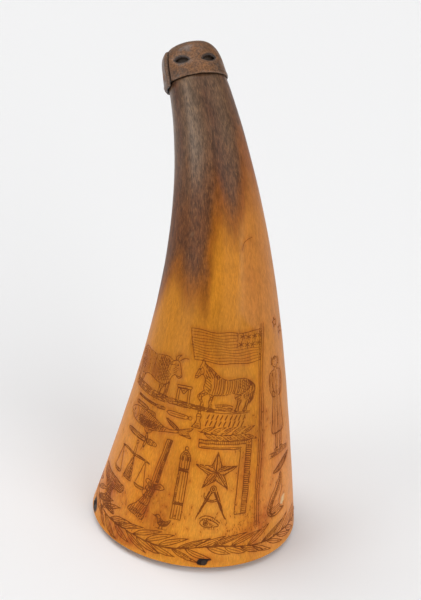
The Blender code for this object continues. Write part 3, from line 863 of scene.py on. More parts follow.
def balance(art):
    """A pair of scales on a stand."""
    beam = art.curve([(-9.6, 4), (-5, 4.9), (0, 4.6), (5, 4.9), (9.4, 4.2), (5, 4.2), (0, 4), (-5, 4.2)],
                     closed=True)
    art.hatch(beam, 0.4, 0, inset=0.1)
    art.line([(-0.6, 4.6), (-0.4, 8.8)])
    art.line([(0.5, 4.6), (0.5, 8.8)])
    art.ring(0.1, 9.4, 0.75, 8)
    stand = art.line([(0.4, 4), (2, -6.2), (-3.6, -6.2), (-0.2, 4)])
    art.hatch(stand, 0.72, 70)
    art.hatch([(0.2, 0), (2, -6), (-3.4, -6)], 0.8, 130)
    for middle in (-8.8, 7):
        art.line([(middle, 4), (middle - 2.6, -5.4)])
        art.line([(middle + 0.2, 4), (middle + 2.6, -5.4)])
        pan = art.curve([(middle - 3, -5.4), (middle, -5.6), (middle + 3, -5.4), (middle + 1.6, -6.6),
                         (middle - 1.6, -6.6)], closed=True)
        art.hatch(pan, 0.5, 0, inset=0.1)
    art.line([(0.1, 3.6), (0.6, -5.8)], 0.8)


def anvil(art):
    """A smith's anvil."""
    shape = art.curve([(-12.6, 4.4), (-8.6, 5.9), (8.6, 6.2), (10.2, 4.9), (9.2, 2.8), (3.8, 1.6),
                       (3.4, -1.6), (6, -4.4), (8.8, -5.4), (8.4, -7), (-6, -7.2), (-5.8, -5.8), (-2, -4.2),
                       (-2.2, -1.2), (-4.6, 1.2), (-9.4, 1.9)], 1.1, True)
    art.hatch(shape, 0.6, 4, 0.8)
    art.hatch(shape[shape[:, 1] < 3.4], 0.8, 60, 0.8)


def small_bird(art):
    """A little bird on the ground."""
    body = art.curve([(-3, 2.2), (-1.6, 2.6), (-0.4, 1.2), (1.6, 0.7), (3.6, 1.8), (2.2, -0.8), (-0.2, -1.4),
                      (-1.8, -0.5), (-2.2, 1)], closed=True)
    art.hatch(body[body[:, 0] > -1.9], 0.42, 20, 0.7, inset=0.1)
    art.hatch(body[body[:, 0] > -1], 0.6, 80, 0.6, inset=0.1)
    art.line([(-3, 2.2), (-4, 1.8), (-2.6, 1.6)], 0.8)
    art.line([(-0.4, -1.2), (-0.8, -2.7)])
    art.line([(0.5, -1.1), (0.6, -2.6)])
    art.line([(-2, -2.7), (2.4, -2.6)], 0.7)


def standing_figure(art):
    """A person in a long coat, facing ahead with a calm, plain face."""
    head = art.ring(0, 14.6, 1.9, 16, tall=2.1 / 1.9)
    art.hatch(head[head[:, 1] > 15.3], 0.5, 30, 0.9, inset=0.1)
    art.line([(-0.45, 13.5), (0.45, 13.5)], 0.6)
    art.line([(0, 11.4), (0, -12.2)], 0.85)
    for side in (-1, 1):
        art.dot(side * 0.7, 14.8, 0.6)
        art.ticks([(side * 1.9, 16.4), (side * 2.1, 13.2)], side * 0.8, 0.5, 60, 0.9)
        art.line([(side * 0.8, 12.8), (side * 0.9, 11.6)])
        arm = art.curve([(side * 0.9, 11.8), (side * 3.6, 11), (side * 4.6, 9), (side * 4.5, 5),
                         (side * 3.2, 2), (side * 0.8, 1.4)])
        art.hatch(np.vstack([arm, [(side * 2.4, 4.6), (side * 2.8, 9)]]), 0.8, 80, 0.7)
        art.curve([(side * 2.8, 9), (side * 2.7, 6), (side * 2, 3.6)], 0.85)
        leg = art.line([(side * 2.6, -12), (side * 2.3, -18.6), (side * 0.7, -18.6), (side * 0.6, -12)])
        art.hatch(leg, 0.8, 84, 0.6)
        art.curve([(side * 0.6, -18.6), (side * 1.8, -18.2), (side * 3.4, -18.9), (side * 0.7, -19.4)], 1.1)
    coat = art.curve([(-2.9, 4), (-2.9, 0), (-3.8, -6), (-4.4, -12), (0, -12.5), (4.4, -12), (3.8, -6),
                      (2.9, 0), (2.9, 4)], 1.1)
    art.hatch(coat, 0.95, 86, 0.7)
    art.hatch([(-2.6, 11), (-0.2, 11.2), (-0.2, 2), (-2.6, 3)], 0.95, 70, 0.6)
    for button in range(4):
        art.dot(0.7, 9.6 - 2.2 * button, 0.7)
    base = Drawing(art.dice)
    ground(base, -6.5, 8, 1.9)
    for points, width in base.strokes:
        art.line(points + np.array([0, -20.4]), width)


def plume(art):
    """A long curved feather."""
    rib = art.curve([(4.6, 9), (2.6, 4), (-1.8, -0.6), (-3.6, -5), (-1, -7.4)])
    edge = art.curve([(5, 9), (5.6, 3), (3.2, -2), (4, -5.4), (7, -6.6), (-1, -7.8), (-5, -5), (-3.4, 0),
                      (1, 5.2)], 1.1, True)
    art.ticks(rib, 2.6, 0.9, 36, 0.75)
    art.ticks(rib, -1.6, 1.1, 36, 0.7)
    art.hatch(edge[edge[:, 1] < -3], 0.8, 10, 0.7)


def hatched_bar(art):
    """A low bar, hatched along its length."""
    shape = art.curve([(-6.6, -1.4), (-2, 0.8), (3, 2.4), (7.4, 3), (4, 0.4), (-2, -1.8)], 1.1, True)
    art.hatch(shape, 0.5, 22, 0.9)


def rosette(art):
    """A six-petal rosette in two rings."""
    size = 7.5
    art.ring(0, 0, size, 32)
    art.ring(0, 0, size + 1.2, 36, 0.85)
    for petal in range(6):
        leaf(art, 0, 0, 60 * petal + 30, size - 0.3, 3.4, 1)
        angle = math.radians(60 * petal)
        art.dot(5.2 * math.cos(angle), 5.2 * math.sin(angle), 1.2)


def fir_tree(art):
    """A tree with drooping boughs."""
    art.line([(-0.5, -9), (-0.3, -6.4)])
    art.line([(0.5, -9), (0.3, -6.4)])
    for tier in range(5):
        y = -6.4 + 3.2 * tier
        half = 4.6 - 0.8 * tier
        shape = art.curve([(-half, y), (-half * 0.4, y + 1.6), (0, y + 4.2), (half * 0.4, y + 1.6), (half, y),
                           (0, y + 0.7), (-half, y)])
        art.hatch(shape, 1, 88)


def perched_bird(art):
    """A long-tailed bird on a branch."""
    body = art.curve([(-5.4, 3.4), (-3.6, 4.4), (-1.8, 2.8), (1.6, 1.4), (4.4, -1.4), (9.4, -4.6),
                      (6.6, -4.4), (2.2, -2.6), (-1.6, -1.6), (-3.6, 0.6), (-4, 2.4)], closed=True)
    art.hatch(body[body[:, 0] > -2.2], 1, -34)
    art.line([(-5.4, 3.4), (-7, 3), (-4.6, 2.6)])
    art.ring(-4.1, 3.3, 0.35, 6)
    art.curve([(-2.2, 1.6), (0.4, 0.2), (3.2, -1.6)])
    art.curve([(-8, -3.4), (-2, -3), (3, -4.2), (8, -6.4)])
    leaf(art, -5.6, -3.2, 140, 3.6, 1.4)
    leaf(art, -2, -3.1, -50, 4, 1.5)


# Figures on the horn: drawing, millimetres round from the front, height, turn in degrees, scale, own sizes
FIGURES = (
    (striped_flag, 5.6, 84.9, -1, 1),
    (horse, 5.3, 69.6, 0, 1),
    (ox, -27.2, 70.6, 3, 1),
    (trestle, -11, 65.2, 0, 1),
    (ground, -12, 61.8, 0, 1, -29, 29, 2.6, 0.62),
    (ground, 5.8, 62.4, 0, 1, -3.6, 3.6, 2.2),
    (chisel, -27, 56.7, 1, 1),
    (spoon_and_jug, -11.2, 57.2, 0, 1),
    (stroke_rows, 6.8, 57.5, 0, 1),
    (leafy_sprig, 7.2, 52.5, 0, 1, 21, 6.4, 5),
    (fish, -26, 50.9, 0, 1),
    (short_knife, -14.2, 53.5, 0, 1),
    (carpenters_square, 9.1, 36, 0, 1),
    (faceted_star, 5.9, 38.4, 0, 1, 8.9, 0.84),
    (dividers, 5.6, 32.2, 0, 1),
    (open_eye, 5.8, 18.8, 0, 1),
    (banded_column, -7.6, 32, 0, 1),
    (long_gun, -19.3, 28.2, 0, 1),
    (small_bird, -13.4, 15.9, 0, 1),
    (dagger, -30, 43.2, 0, 1),
    (balance, -32.6, 31.4, 0, 1),
    (anvil, -46.5, 15.6, 0, 1),
    (standing_figure, 32.6, 62, 0, 1),
    (hatched_bar, 39.8, 35.8, 0, 1),
    (plume, 36.6, 23.8, 0, 1),
    (faceted_star, 29, 91, 10, 1, 2),
    (faceted_star, 35, 87.5, -8, 1, 1.9),
    (rosette, 96, 48, 0, 1),
    (fir_tree, 70, 50, 0, 1),
    (perched_bird, -72, 54, 0, 1),
    (faceted_star, -88, 30, 0, 1, 5.5),
    (fir_tree, -98, 38, 0, 0.8),
)

# The border line beside the flag, the hairline crack and the mark in the chip
BORDER = ((20.3, 92), (20.5, 80), (21.4, 70), (22.9, 60), (24.2, 44), (25, 30), (26.2, 21), (27.4, 15))
CRACK = ((10, 119), (11, 121.5), (12.6, 122.6), (15, 123.2))
CHIP_MARK = ((42.6, 18.8), (43.2, 20.6), (43.9, 23.4))


class Engraving:
    """All strokes as they lie on the horn: angles, heights in metres and widths."""

    def __init__(self, shape, seed):
        self.shape = shape
        self.dice = random.Random(seed)
        self.rough = np.random.default_rng(seed)
        self.strokes = []

    def add(self, angles, heights, width):
        """Keep one stroke with even steps and the unsteadiness of a hand."""
        radii = self.shape.radius(heights) / MM
        steps = np.hypot(np.diff(angles) * (radii[1:] + radii[:-1]) / 2, np.diff(heights) / MM)
        runs = np.append(0, np.cumsum(steps))
        if runs[-1] < 0.1:
            return
        count = max(math.ceil(runs[-1] / STROKE_STEP), 1) + 1
        even = np.linspace(0, runs[-1], count)
        angle, height = (np.interp(even, runs, line) for line in (angles, heights))
        if count > 4:
            sway, lift = (np.convolve(self.rough.normal(0, HAND_SWAY, count + 2), np.ones(3) / 3, "valid")
                          for _ in range(2))
            angle = angle + sway * MM / self.shape.radius(height)
            height = height + lift * MM
        self.strokes.append((angle, np.maximum(height, 0.0009), width))

    def lay(self, x, height, width, middle=0.0):
        """A stroke through points in millimetres, round from an angle and up from the rim."""
        self.add(middle + x * MM / self.shape.radius(height * MM), height * MM, width)

    def carve(self, draw, x, height, turn_deg, scale, *sizes):
        """Lay a figure on the horn, its middle x millimetres round from the front."""
        art = Drawing(self.dice)
        draw(art, *sizes)
        middle = x * MM / self.shape.radius(height * MM)
        for points, width in art.strokes:
            points = turned(points, turn_deg) * scale
            self.lay(points[:, 0], height + points[:, 1], width, middle)

    def garland(self):
        """A leafy garland all round, above the rim."""
        def stem(angle):
            return 7.4 + 1.2 * np.sin(3 * angle + 0.6) + 0.6 * np.sin(7 * angle)

        turns = np.linspace(-math.pi, math.pi, 91)
        for lift, width in ((0, 1.15), (0.35, 0.9)):
            self.add(turns, (stem(turns) + lift * np.sin(5 * turns)) * MM, width)
        for index in range(GARLAND_LEAVES):
            for side, start, reach in ((1, 0.25, 14), (-1, 0.75, 12.5)):
                share = (index + start + self.dice.uniform(-0.15, 0.15)) / GARLAND_LEAVES
                angle = -math.pi + math.tau * share
                length = reach * self.dice.uniform(0.85, 1.12)
                lean = side * self.dice.uniform(21, 34)
                art = Drawing(self.dice)
                leaf(art, 0, 0, lean, length, self.dice.uniform(1.7, 2.5), self.dice.choice((1, 1, 2)),
                     -side * self.dice.uniform(0.02, 0.16), 1.02)
                for points, width in art.strokes:
                    self.lay(points[:, 0], np.maximum(stem(angle) + points[:, 1], 1), width, angle)

    def trace(self, points, width):
        """A flowing stroke through points round from the front and up from the rim."""
        self.lay(*flowing(points).T, width)

    def make(self):
        """Everything that was cut into the horn."""
        for figure in FIGURES:
            self.carve(*figure)
        for offset, width in ((-0.9, 0.85), (0, 1), (1.1, 0.85)):
            self.trace([(x + offset, height) for x, height in BORDER], width)
        self.trace(CRACK, 0.55)
        self.garland()
        self.trace(CHIP_MARK, 0.7)
        dice = self.dice
        for _ in range(PIT_COUNT):
            x = dice.gauss(22, 6) if dice.random() < 0.4 else dice.uniform(-45, 45)
            height = dice.gauss(18, 4.5) if dice.random() < 0.6 else dice.uniform(14, 60)
            reach = dice.uniform(0.15, 0.7)
            low = max(height - reach, 2)
            self.trace([(x, low), (x + dice.uniform(-0.2, 0.2), low + reach)], dice.uniform(0.35, 0.8))


# Skins
def point_outwards(mesh, merge=True):
    """Merge double points, where asked, and turn every face outwards."""
    bm = bmesh.new()
    bm.from_mesh(mesh)
    if merge:
        bmesh.ops.remove_doubles(bm, verts=bm.verts, dist=1e-6)
    bmesh.ops.recalc_face_normals(bm, faces=bm.faces)
    bm.to_mesh(mesh)
    bm.free()


def new_object(name, data):
    """An object in the scene, with its mesh, light or camera."""
    made = bpy.data.objects.new(name, data)
    bpy.context.scene.collection.objects.link(made)
    return made


def seam_u(angle):
    """Place round the horn on its UV map."""
    return UV_EDGE + UV_SPAN * (angle + math.pi) / math.tau


class Skin:
    """A closed mesh in the making, with its UV map and numbers on its points."""

    def __init__(self):
        self.points = []
        self.numbers = []
        self.faces = []
        self.corners = []

    def add_points(self, places, **numbers):
        """Add points with numbers for the finish, and return their indices."""
        start = sum(len(part) for part in self.points)
        self.points.append(places)
        self.numbers.append(numbers)
        return np.arange(start, start + len(places))

    def add_faces(self, faces, corners):
        """Add triangles with the UV place of each corner."""
        self.faces.append(faces)
        self.corners.append(corners)

    def join(self, *rings):
        """Fill between two rings of indices, angles and a UV height. They may differ in count."""
        rows = [[(index, turn, v) for index, turn in zip(ids, turns)] for ids, turns, v in rings]
        at = [0, 0]
        faces, corners = [], []
        while at[0] < len(rows[0]) - 1 or at[1] < len(rows[1]) - 1:
            ahead = [row[i + 1][1] if i < len(row) - 1 else math.inf for row, i in zip(rows, at)]
            trio = [row[i] for row, i in zip(rows, at)]
            side = int(ahead[0] > ahead[1])
            at[side] += 1
            trio.insert(1, rows[side][at[side]])
            faces.append([index for index, _, _ in trio])
            corners.append([(seam_u(turn), v) for _, turn, v in trio])
        self.add_faces(faces, corners)

    def finish(self, name, material):
        """Turn the skin into an object with smooth faces that point outwards."""
        mesh = bpy.data.meshes.new(name)
        mesh.from_pydata(np.concatenate(self.points).tolist(), [], np.concatenate(self.faces).tolist())
        layer = mesh.uv_layers.new(name="OFBake")
        layer.data.foreach_set("uv", np.concatenate(self.corners).reshape(-1))
        for key in sorted({key for numbers in self.numbers for key in numbers}):
            kind, slot, size = ("FLOAT_VECTOR", "vector", 3) if key == "straight" else ("FLOAT", "value", 1)
            values = [np.reshape(numbers.get(key, np.zeros(len(points) * size)), -1)
                      for points, numbers in zip(self.points, self.numbers)]
            attribute = mesh.attributes.new(key, kind, "POINT")
            attribute.data.foreach_set(slot, np.concatenate(values).astype(np.float32))
        point_outwards(mesh, merge=False)
        mesh.materials.append(material)
        mesh.shade_smooth()
        return new_object(name, mesh)


def full_turn(count):
    """Evenly spaced angles from one side of the seam to the other."""
    return np.linspace(-math.pi, math.pi, count + 1)


def search_tree(places):
    """A tree that finds the nearest of these places."""
    tree = kdtree.KDTree(len(places))
    for index, place in enumerate(places):
        tree.insert(place, index)
    tree.balance()
    return tree


def triangulated(flat, edges, tolerance):
    """Triangles over flat places: which places they use, and the triangles."""
    result = delaunay_2d_cdt([Vector(place) for place in flat.tolist()], edges, [], 0, tolerance)
    return [origins[0] for origins in result[3]], np.array([face for face in result[2] if len(face) == 3])


def spread_points(candidates, gap):
    """Indices of points in order of rank, without any that lies within the gap of one already kept."""
    cells, kept = {}, []
    for index, (x, y) in enumerate(candidates.tolist()):
        cell_x, cell_y = math.floor(x / gap), math.floor(y / gap)
        near = (cells.get((cell_x + i, cell_y + j)) for i in (-1, 0, 1) for j in (-1, 0, 1))
        if all(other is None or (other[0] - x) ** 2 + (other[1] - y) ** 2 >= gap * gap for other in near):
            cells[(cell_x, cell_y)] = (x, y)
            kept.append(index)
    return kept


# Patches of the skin: millimetres round from the front, height, half width, half height, strength
LIGHT_PATCHES = ((4, 21, 15, 16, 1), (38, 12, 8, 7, 0.5), (34, 11, 7, 5, 0.5), (20, 4.5, 9, 3, 0.6),
                 (-26, 86, 5, 8, 0.35))
STAINS = ((-33, 3.6, 8, 2.4, 2.4), (9, 3.4, 7, 1.8, 0.9), (-44, 17, 9, 5.5, 0.9), (-18.5, 30, 4, 17, 1),
          (-24, 21, 6, 6, 0.8), (-27, 50, 9, 3.6, 0.5), (-28, 70, 9, 6, 0.3), (31, 17, 5, 8, 0.7),
          (36, 38, 9, 5, 0.4), (18, 36, 2.6, 14, 0.5), (-13, 16, 4, 4, 0.3), (6, 37, 7, 6, 0.2),
          (-50, 5, 8, 4, 0.2), (24, 14, 7, 3, 0.5), (-11, 30, 3, 14, 0.5))
SMEARS = ((8.6, 3.4, 1.3, 0.6, 0.8), (-58, 2.6, 4.5, 2.6, 1.2))

# Dark tongues that run down the neck: angle, half width, drop in millimetres
TONGUES = ((-1.45, 0.40, 22), (-0.47, 0.31, 13), (0.36, 0.20, 9))


def patches(table, x, height):
    """A table of soft patches, added up."""
    return sum(strength * bell(x, across, wide) * bell(height, up, high)
               for across, up, wide, high, strength in table)


def dark_edge(angle):
    """Height in millimetres at which clear horn turns dark, and half the way that this takes."""
    edge = 117 + 20 * ramp(angle, -0.3, 0.12) + 13 * ramp(angle, 0.6, 0.9)
    for middle, width, drop in TONGUES:
        edge = edge - drop * bell(angle, middle, width)
    half = 12 + 11 * bell(angle, -0.03, 0.22) + 14 * ramp(angle, 0.65, 0.9)
    behind = ramp(np.abs(angle), 1.6, 2.5)
    return edge + (122 - edge) * behind, half + (16 - half) * behind


def horn_zones(angle, height, radius):
    """How dark, warm, light, stained, sooty and pale the skin is, at a height in millimetres. The light and
    pale numbers also hold painted highlights, the stained and sooty ones painted shade.
    """
    x = angle * radius
    edge, half = dark_edge(angle)
    facet = 9.6 + 12 * ramp(height, 98, 84) + 4 * ramp(height, 80, 20)
    dark = np.clip(0.5 + (height - edge) / (2 * half), 0, 1)
    dark = dark + 0.34 * bell(x, -4.2, 2.2) * ramp(height, 89, 97) * ramp(height, 120, 110)
    warm = 0.55 * ramp(x, facet - 1, facet + 1.4) + 0.35 * ramp(x, facet, facet + 16)
    warm = np.maximum(warm + 0.45 * ramp(x, -24, -40), ramp(np.abs(angle), 1.7, 2.6))
    # Paler horn in patches, plus painted highlights: a lighter band along the rim and a grey column down the
    # left of the neck
    light = (patches(LIGHT_PATCHES, x, height) + 0.7 * bell(height, 0.5, 3)
             + 0.9 * bell(angle, -0.44, 0.2) * ramp(height, 138, 160))
    # Real stains, plus painted shade: the bands at angles 0.14, -0.96 and -1.12 high on the neck darken it
    # where its facets turn from the light
    stain = (patches(STAINS, x, height)
             + 0.28 * bell(height, 1.2, 2) * (0.55 + 0.45 * np.sin(5 * angle + 1)) * ramp(height, 0.3, 1)
             + 0.5 * bell(x, facet + 1, 3) * ramp(height, 72, 52)
             + 0.7 * bell(angle, 0.14, 0.2) * ramp(height, 128, 148)
             + 0.9 * bell(angle, -0.96, 0.16) * ramp(height, 145, 165)
             + 0.5 * bell(angle, -1.12, 0.2) * bell(height, 140, 15)
             + 0.26 * bell(angle, 0.72, 0.3) * bell(height, 114, 22))
    # The sooty number also holds painted shade: the spout under the cap, and a thin shadow beside the chip
    beside_chip = x - 44 - 0.3 * (height - 20.8)
    soot = (patches(SMEARS, x, height) + ramp(height, 184, 185)
            + 1.3 * np.exp(-((x - 5.5) / 2.2) ** 4 - ((height - 2.6) / 1.4) ** 4)
            + 0.5 * bell(beside_chip, 1.6, 0.4) * bell(height, 21.6, 2))
    for peg_deg in (98.5, 188.5):
        soot = soot + bell(x, math.radians(peg_deg) * radius, 2.4) * bell(height, 2.4, 1.6)
    # Bare horn at the chip and a small spot, plus a faint painted highlight along the ridge at 9.8 mm
    pale = (smooth((0.27 * (23.6 - height) - np.abs(beside_chip)) * 3 + 0.5) * smooth((height - 18.8) * 3)
            + 0.5 * bell(x, -10, 0.4) * bell(height, 125, 0.5)
            + 0.1 * bell(x, 9.8, 0.9) * ramp(height, 92, 100) * ramp(height, 132, 124))
    shares = {"light": light, "stain": stain, "soot": soot, "pale": pale}
    return {"dark": dark, "warm": warm, **{name: np.clip(share, 0, 1) for name, share in shares.items()}}


def hand_scraped(angle, height, radius):
    """Small rises and hollows of the scraped skin, in millimetres."""
    x = angle * radius
    rise = (0.10 * np.sin(2 * angle + 0.8) * np.sin(height / 23 + 0.6)
            + 0.05 * np.sin(9 * angle + height / 31) * np.sin(height / 37 + 1.1)
            + 0.09 * np.sin(10 * angle + 1) * ramp(height, 128, 158)
            + 0.03 * np.sin(17 * angle - height / 19) + 0.02 * np.sin(height / 3.1 + 4 * angle)
            + 0.2 * bell(x, 8.8, 1.7) * ramp(height, 78, 94) * ramp(height, 134, 120)
            - 0.5 * bell(x, 44, 1.6) * bell(height, 20.6, 1.8))
    return rise * ramp(height, 0, 4) * ramp(height, 183, 177)


def half_width(width):
    """Half the width in metres of a stroke of this weight."""
    return STROKE_HALF_WIDTH * MM * (0.45 + 0.55 * width)


def stroke_points(shape, strokes):
    """Angles and heights along the middle of every stroke, then along its sides and past its ends."""
    middles, sides = [], []
    for angle, height, width in strokes:
        radius = shape.radius(height)
        middles.append(columns(angle, height))
        ways = np.gradient(columns(angle * radius.mean(), height), axis=0)
        ways = ways / np.maximum(np.linalg.norm(ways, axis=1, keepdims=True), 1e-12) * half_width(width)
        for side in (1, -1):
            sides.append(columns(angle - side * ways[:, 1] / radius, height + side * ways[:, 0]))
        for end, sign in ((0, -1), (-1, 1)):
            way = sign * ways[end]
            sides.append([[angle[end] + way[0] / radius[end], height[end] + way[1]]])
    return np.vstack(middles + sides)


def plain_points(shape, low, high):
    """Staggered rows of plain skin whose count follows the girth, and each row's two ends at the seam."""
    plain, ends = [], []
    gap = PLAIN_GAP * MM
    height = low + gap * 0.6
    while height < high - gap * 0.5:
        count = max(int(math.tau * shape.radius(height) / gap), 24)
        turns = -math.pi + math.tau * (np.arange(1, count) - 0.5 * (len(plain) % 2)) / count
        plain.append(columns(turns, height))
        ends += [(-math.pi, height), (math.pi, height)]
        height += gap * 0.87
    return np.vstack(plain), ends


def nearest_cut(shape, strokes, places):
    """At each place, the share of full depth that the nearest stroke has, and how close it is."""
    samples, widths = [], []
    for angle, height, width in strokes:
        last = len(angle) - 1
        ticks = np.linspace(0, last, max(int(len(angle) * STROKE_STEP / SAMPLE_GAP), 3))
        samples.append(columns(*(np.interp(ticks, np.arange(last + 1), line) for line in (angle, height))))
        widths.append(width * np.minimum(1, 0.55 + np.minimum(ticks, last - ticks) * 0.6))
    tree = search_tree(shape.unbent(*np.vstack(samples).T))
    found = [tree.find(place) for place in places]
    width = np.concatenate(widths)[[index for _, index, _ in found]]
    gap = np.array([gap for _, _, gap in found])
    cut = np.maximum(1 - gap / half_width(width), 0) * (0.45 + 0.55 * np.minimum(width, 1.3))
    return cut, np.exp(-(gap / (HAZE_REACH * MM)) ** 2)


def make_carved_skin(skin, shape, sizes, strokes, depth):
    """The outside of the horn, cut along every stroke. Returns its lowest and highest ring."""
    low, high = sizes.rim_round, sizes.length
    carved = stroke_points(shape, strokes)
    carved = carved[(carved[:, 1] > low + 0.0004) & (carved[:, 1] < high - 0.0006)]
    carved = np.vstack([carved, carved + [math.tau, 0], carved - [math.tau, 0]])
    carved = carved[np.abs(carved[:, 0]) < math.pi - 0.012]
    plain, ends = plain_points(shape, low, high)
    fixed = np.vstack([columns(full_turn(RIM_SIDES), low), columns(full_turn(NECK_SIDES), high), ends])
    near = search_tree(shape.unbent(*carved.T))
    clear = [near.find(place)[2] > PLAIN_CLEARANCE * MM for place in shape.unbent(*plain.T)]
    plain = plain[np.array(clear) & (np.abs(plain[:, 0]) < math.pi - 0.01)]
    ranked = np.vstack([fixed, carved, plain])
    chart = columns(ranked[:, 0] * shape.radius(ranked[:, 1]), ranked[:, 1]) / MM
    kept = ranked[spread_points(chart, POINT_GAP)]
    order, triangles = triangulated(columns(kept[:, 0], shape.even_value(kept[:, 1])), [], 1e-9)
    angle, height = kept[order].T
    radius = shape.radius(height)
    straight = shape.unbent(angle, height)
    cut, haze = nearest_cut(shape, strokes, straight)
    rise = hand_scraped(angle, height / MM, radius / MM) * MM
    ids = skin.add_points(shape.point(angle, height, radius + rise - depth * cut), straight=straight,
                          ink=cut, haze=haze, **horn_zones(angle, height / MM, radius / MM))
    # Both sides of the seam share their points
    keys = np.round(height * 1e7).astype(int)
    seam = {keys[index]: index for index in np.nonzero(angle < -math.pi + 1e-9)[0]}
    for index in np.nonzero(angle > math.pi - 1e-9)[0]:
        ids[index] = ids[seam[keys[index]]]
    v = UV_EDGE + UV_SKIN_HEIGHT * height / high
    skin.add_faces(ids[triangles], columns(seam_u(angle), v)[triangles])
    rings = []
    for level in (low, high):
        members = np.nonzero(np.abs(height - level) < 1e-9)[0]
        members = members[np.argsort(angle[members])]
        rings.append((ids[members], angle[members], UV_EDGE + UV_SKIN_HEIGHT * level / high))
    return rings


def add_ring(skin, shape, count, height, radius, v, place=None):
    """A ring of points at a height and radius, or carried by a matrix from a flat ring."""
    turns = full_turn(count)
    own = turns[:-1]
    if place is None:
        places = shape.point(own, height, radius)
    else:
        places = [place @ Vector(flat) for flat in round_place(own, radius, 0)]
    ids = skin.add_points(places, straight=round_place(own, radius, height), warm=ramp(np.abs(own), 0.4, 2),
                          dark=np.full(count, min(max((height / MM - 118) / 30 + 0.5, 0), 1)))
    return np.append(ids, ids[0]), turns, v


def slope_at(horn, cap_height, height):
    """How steeply the cut of the shoulder still shows at a height above it."""
    return math.tan(horn.shoulder_tilt) * np.clip(1 - height / cap_height, 0, 1)


def cap_heights(settings):
    """Inside and outside height of the cap above the shoulder."""
    inner = settings.horn.spout_length + settings.cap.air
    return inner, inner + settings.cap.wall


def crown_radius(height, radius, full_height, taper):
    """Radius of the cap's tapering side and rounded crown at a height above the shoulder."""
    straight = radius - height * math.tan(taper)
    return straight * (1 - np.minimum(height / full_height, 1) ** 4.5) ** (1 / 3)


def make_horn_inside(skin, shape, settings, low_ring, high_ring):
    """Shoulder, spout, bore, chamber and rim, from the top of the carved skin round to its foot."""
    horn, taper = settings.horn, settings.cap.taper
    inner_height, cap_height = cap_heights(settings)
    spout_radius = horn.neck_radius - horn.shoulder_step
    shoulder, base = shape.frame_at(horn.length), shape.frame_at(0)
    end = horn.length + horn.spout_length
    end_radius = crown_radius(horn.spout_length, spout_radius, inner_height, taper)
    rings = [high_ring]

    def ring(*sizes):
        rings.append(add_ring(skin, shape, *sizes))

    for row in range(9):
        height = (horn.spout_length - 0.0006) * row / 8
        tilt = Matrix.Rotation(math.atan(slope_at(horn, cap_height, height)), 4, "Y")
        place = shoulder @ Matrix.Translation((0, 0, height)) @ tilt
        if row == 0:
            ring(NECK_SIDES, horn.length, horn.neck_radius - 0.0002, 0.755, place)
        radius = crown_radius(height, spout_radius, inner_height, taper)
        ring(NECK_SIDES, horn.length + height, radius, 0.76 + 0.005 * row, place)
    ring(NECK_SIDES, end - 0.0002, end_radius - 0.0002, 0.805)
    ring(NECK_SIDES, end, end_radius - 0.0008, 0.81)
    ring(40, end, horn.bore_radius + 0.0004, 0.82)
    for row in range(15):
        height = end - 0.0004 - (horn.solid_tip + horn.spout_length - 0.0008) * row / 14
        ring(BORE_SIDES, height, horn.bore_radius, 0.825 + 0.0035 * row)
    chamber_rows = 30
    for row in range(1, chamber_rows + 1):
        height = shape.chamber_length * math.cos(math.pi / 2 * row / chamber_rows)
        radius = shape.chamber_radius(height)
        count = int(min(max(math.tau * radius / 0.0026, BORE_SIDES), MOUTH_SIDES))
        ring(count, max(height, 0.0002), radius, 0.88 + 0.0034 * row)
    ring(MOUTH_SIDES, 0, shape.chamber_radius(0) + 0.0002, 0.985)
    for step in range(4):
        turn = math.radians(-90 + 22 * step)
        lift = Matrix.Translation((0, 0, horn.rim_round * (1 + math.sin(turn))))
        radius = horn.rim_radius - horn.rim_round * (1 - math.cos(turn))
        ring(RIM_SIDES, 0, radius, 0.988 + 0.002 * step, base @ lift)
    rings.append((*low_ring[:2], 0.999))
    for low, high in zip(rings, rings[1:]):
        skin.join(low, high)


# Leather cap
def on_leather(loops, places):
    """Which flat places lie inside the cap's edge and outside its openings."""
    x, y = places.T
    found = np.zeros(len(places), bool)
    for loop in loops:
        for (x0, y0), (x1, y1) in zip(loop, np.roll(loop, -1, axis=0)):
            if y0 != y1:
                found ^= ((y0 > y) != (y1 > y)) & (x < x0 + (y - y0) / (y1 - y0) * (x1 - x0))
    return found


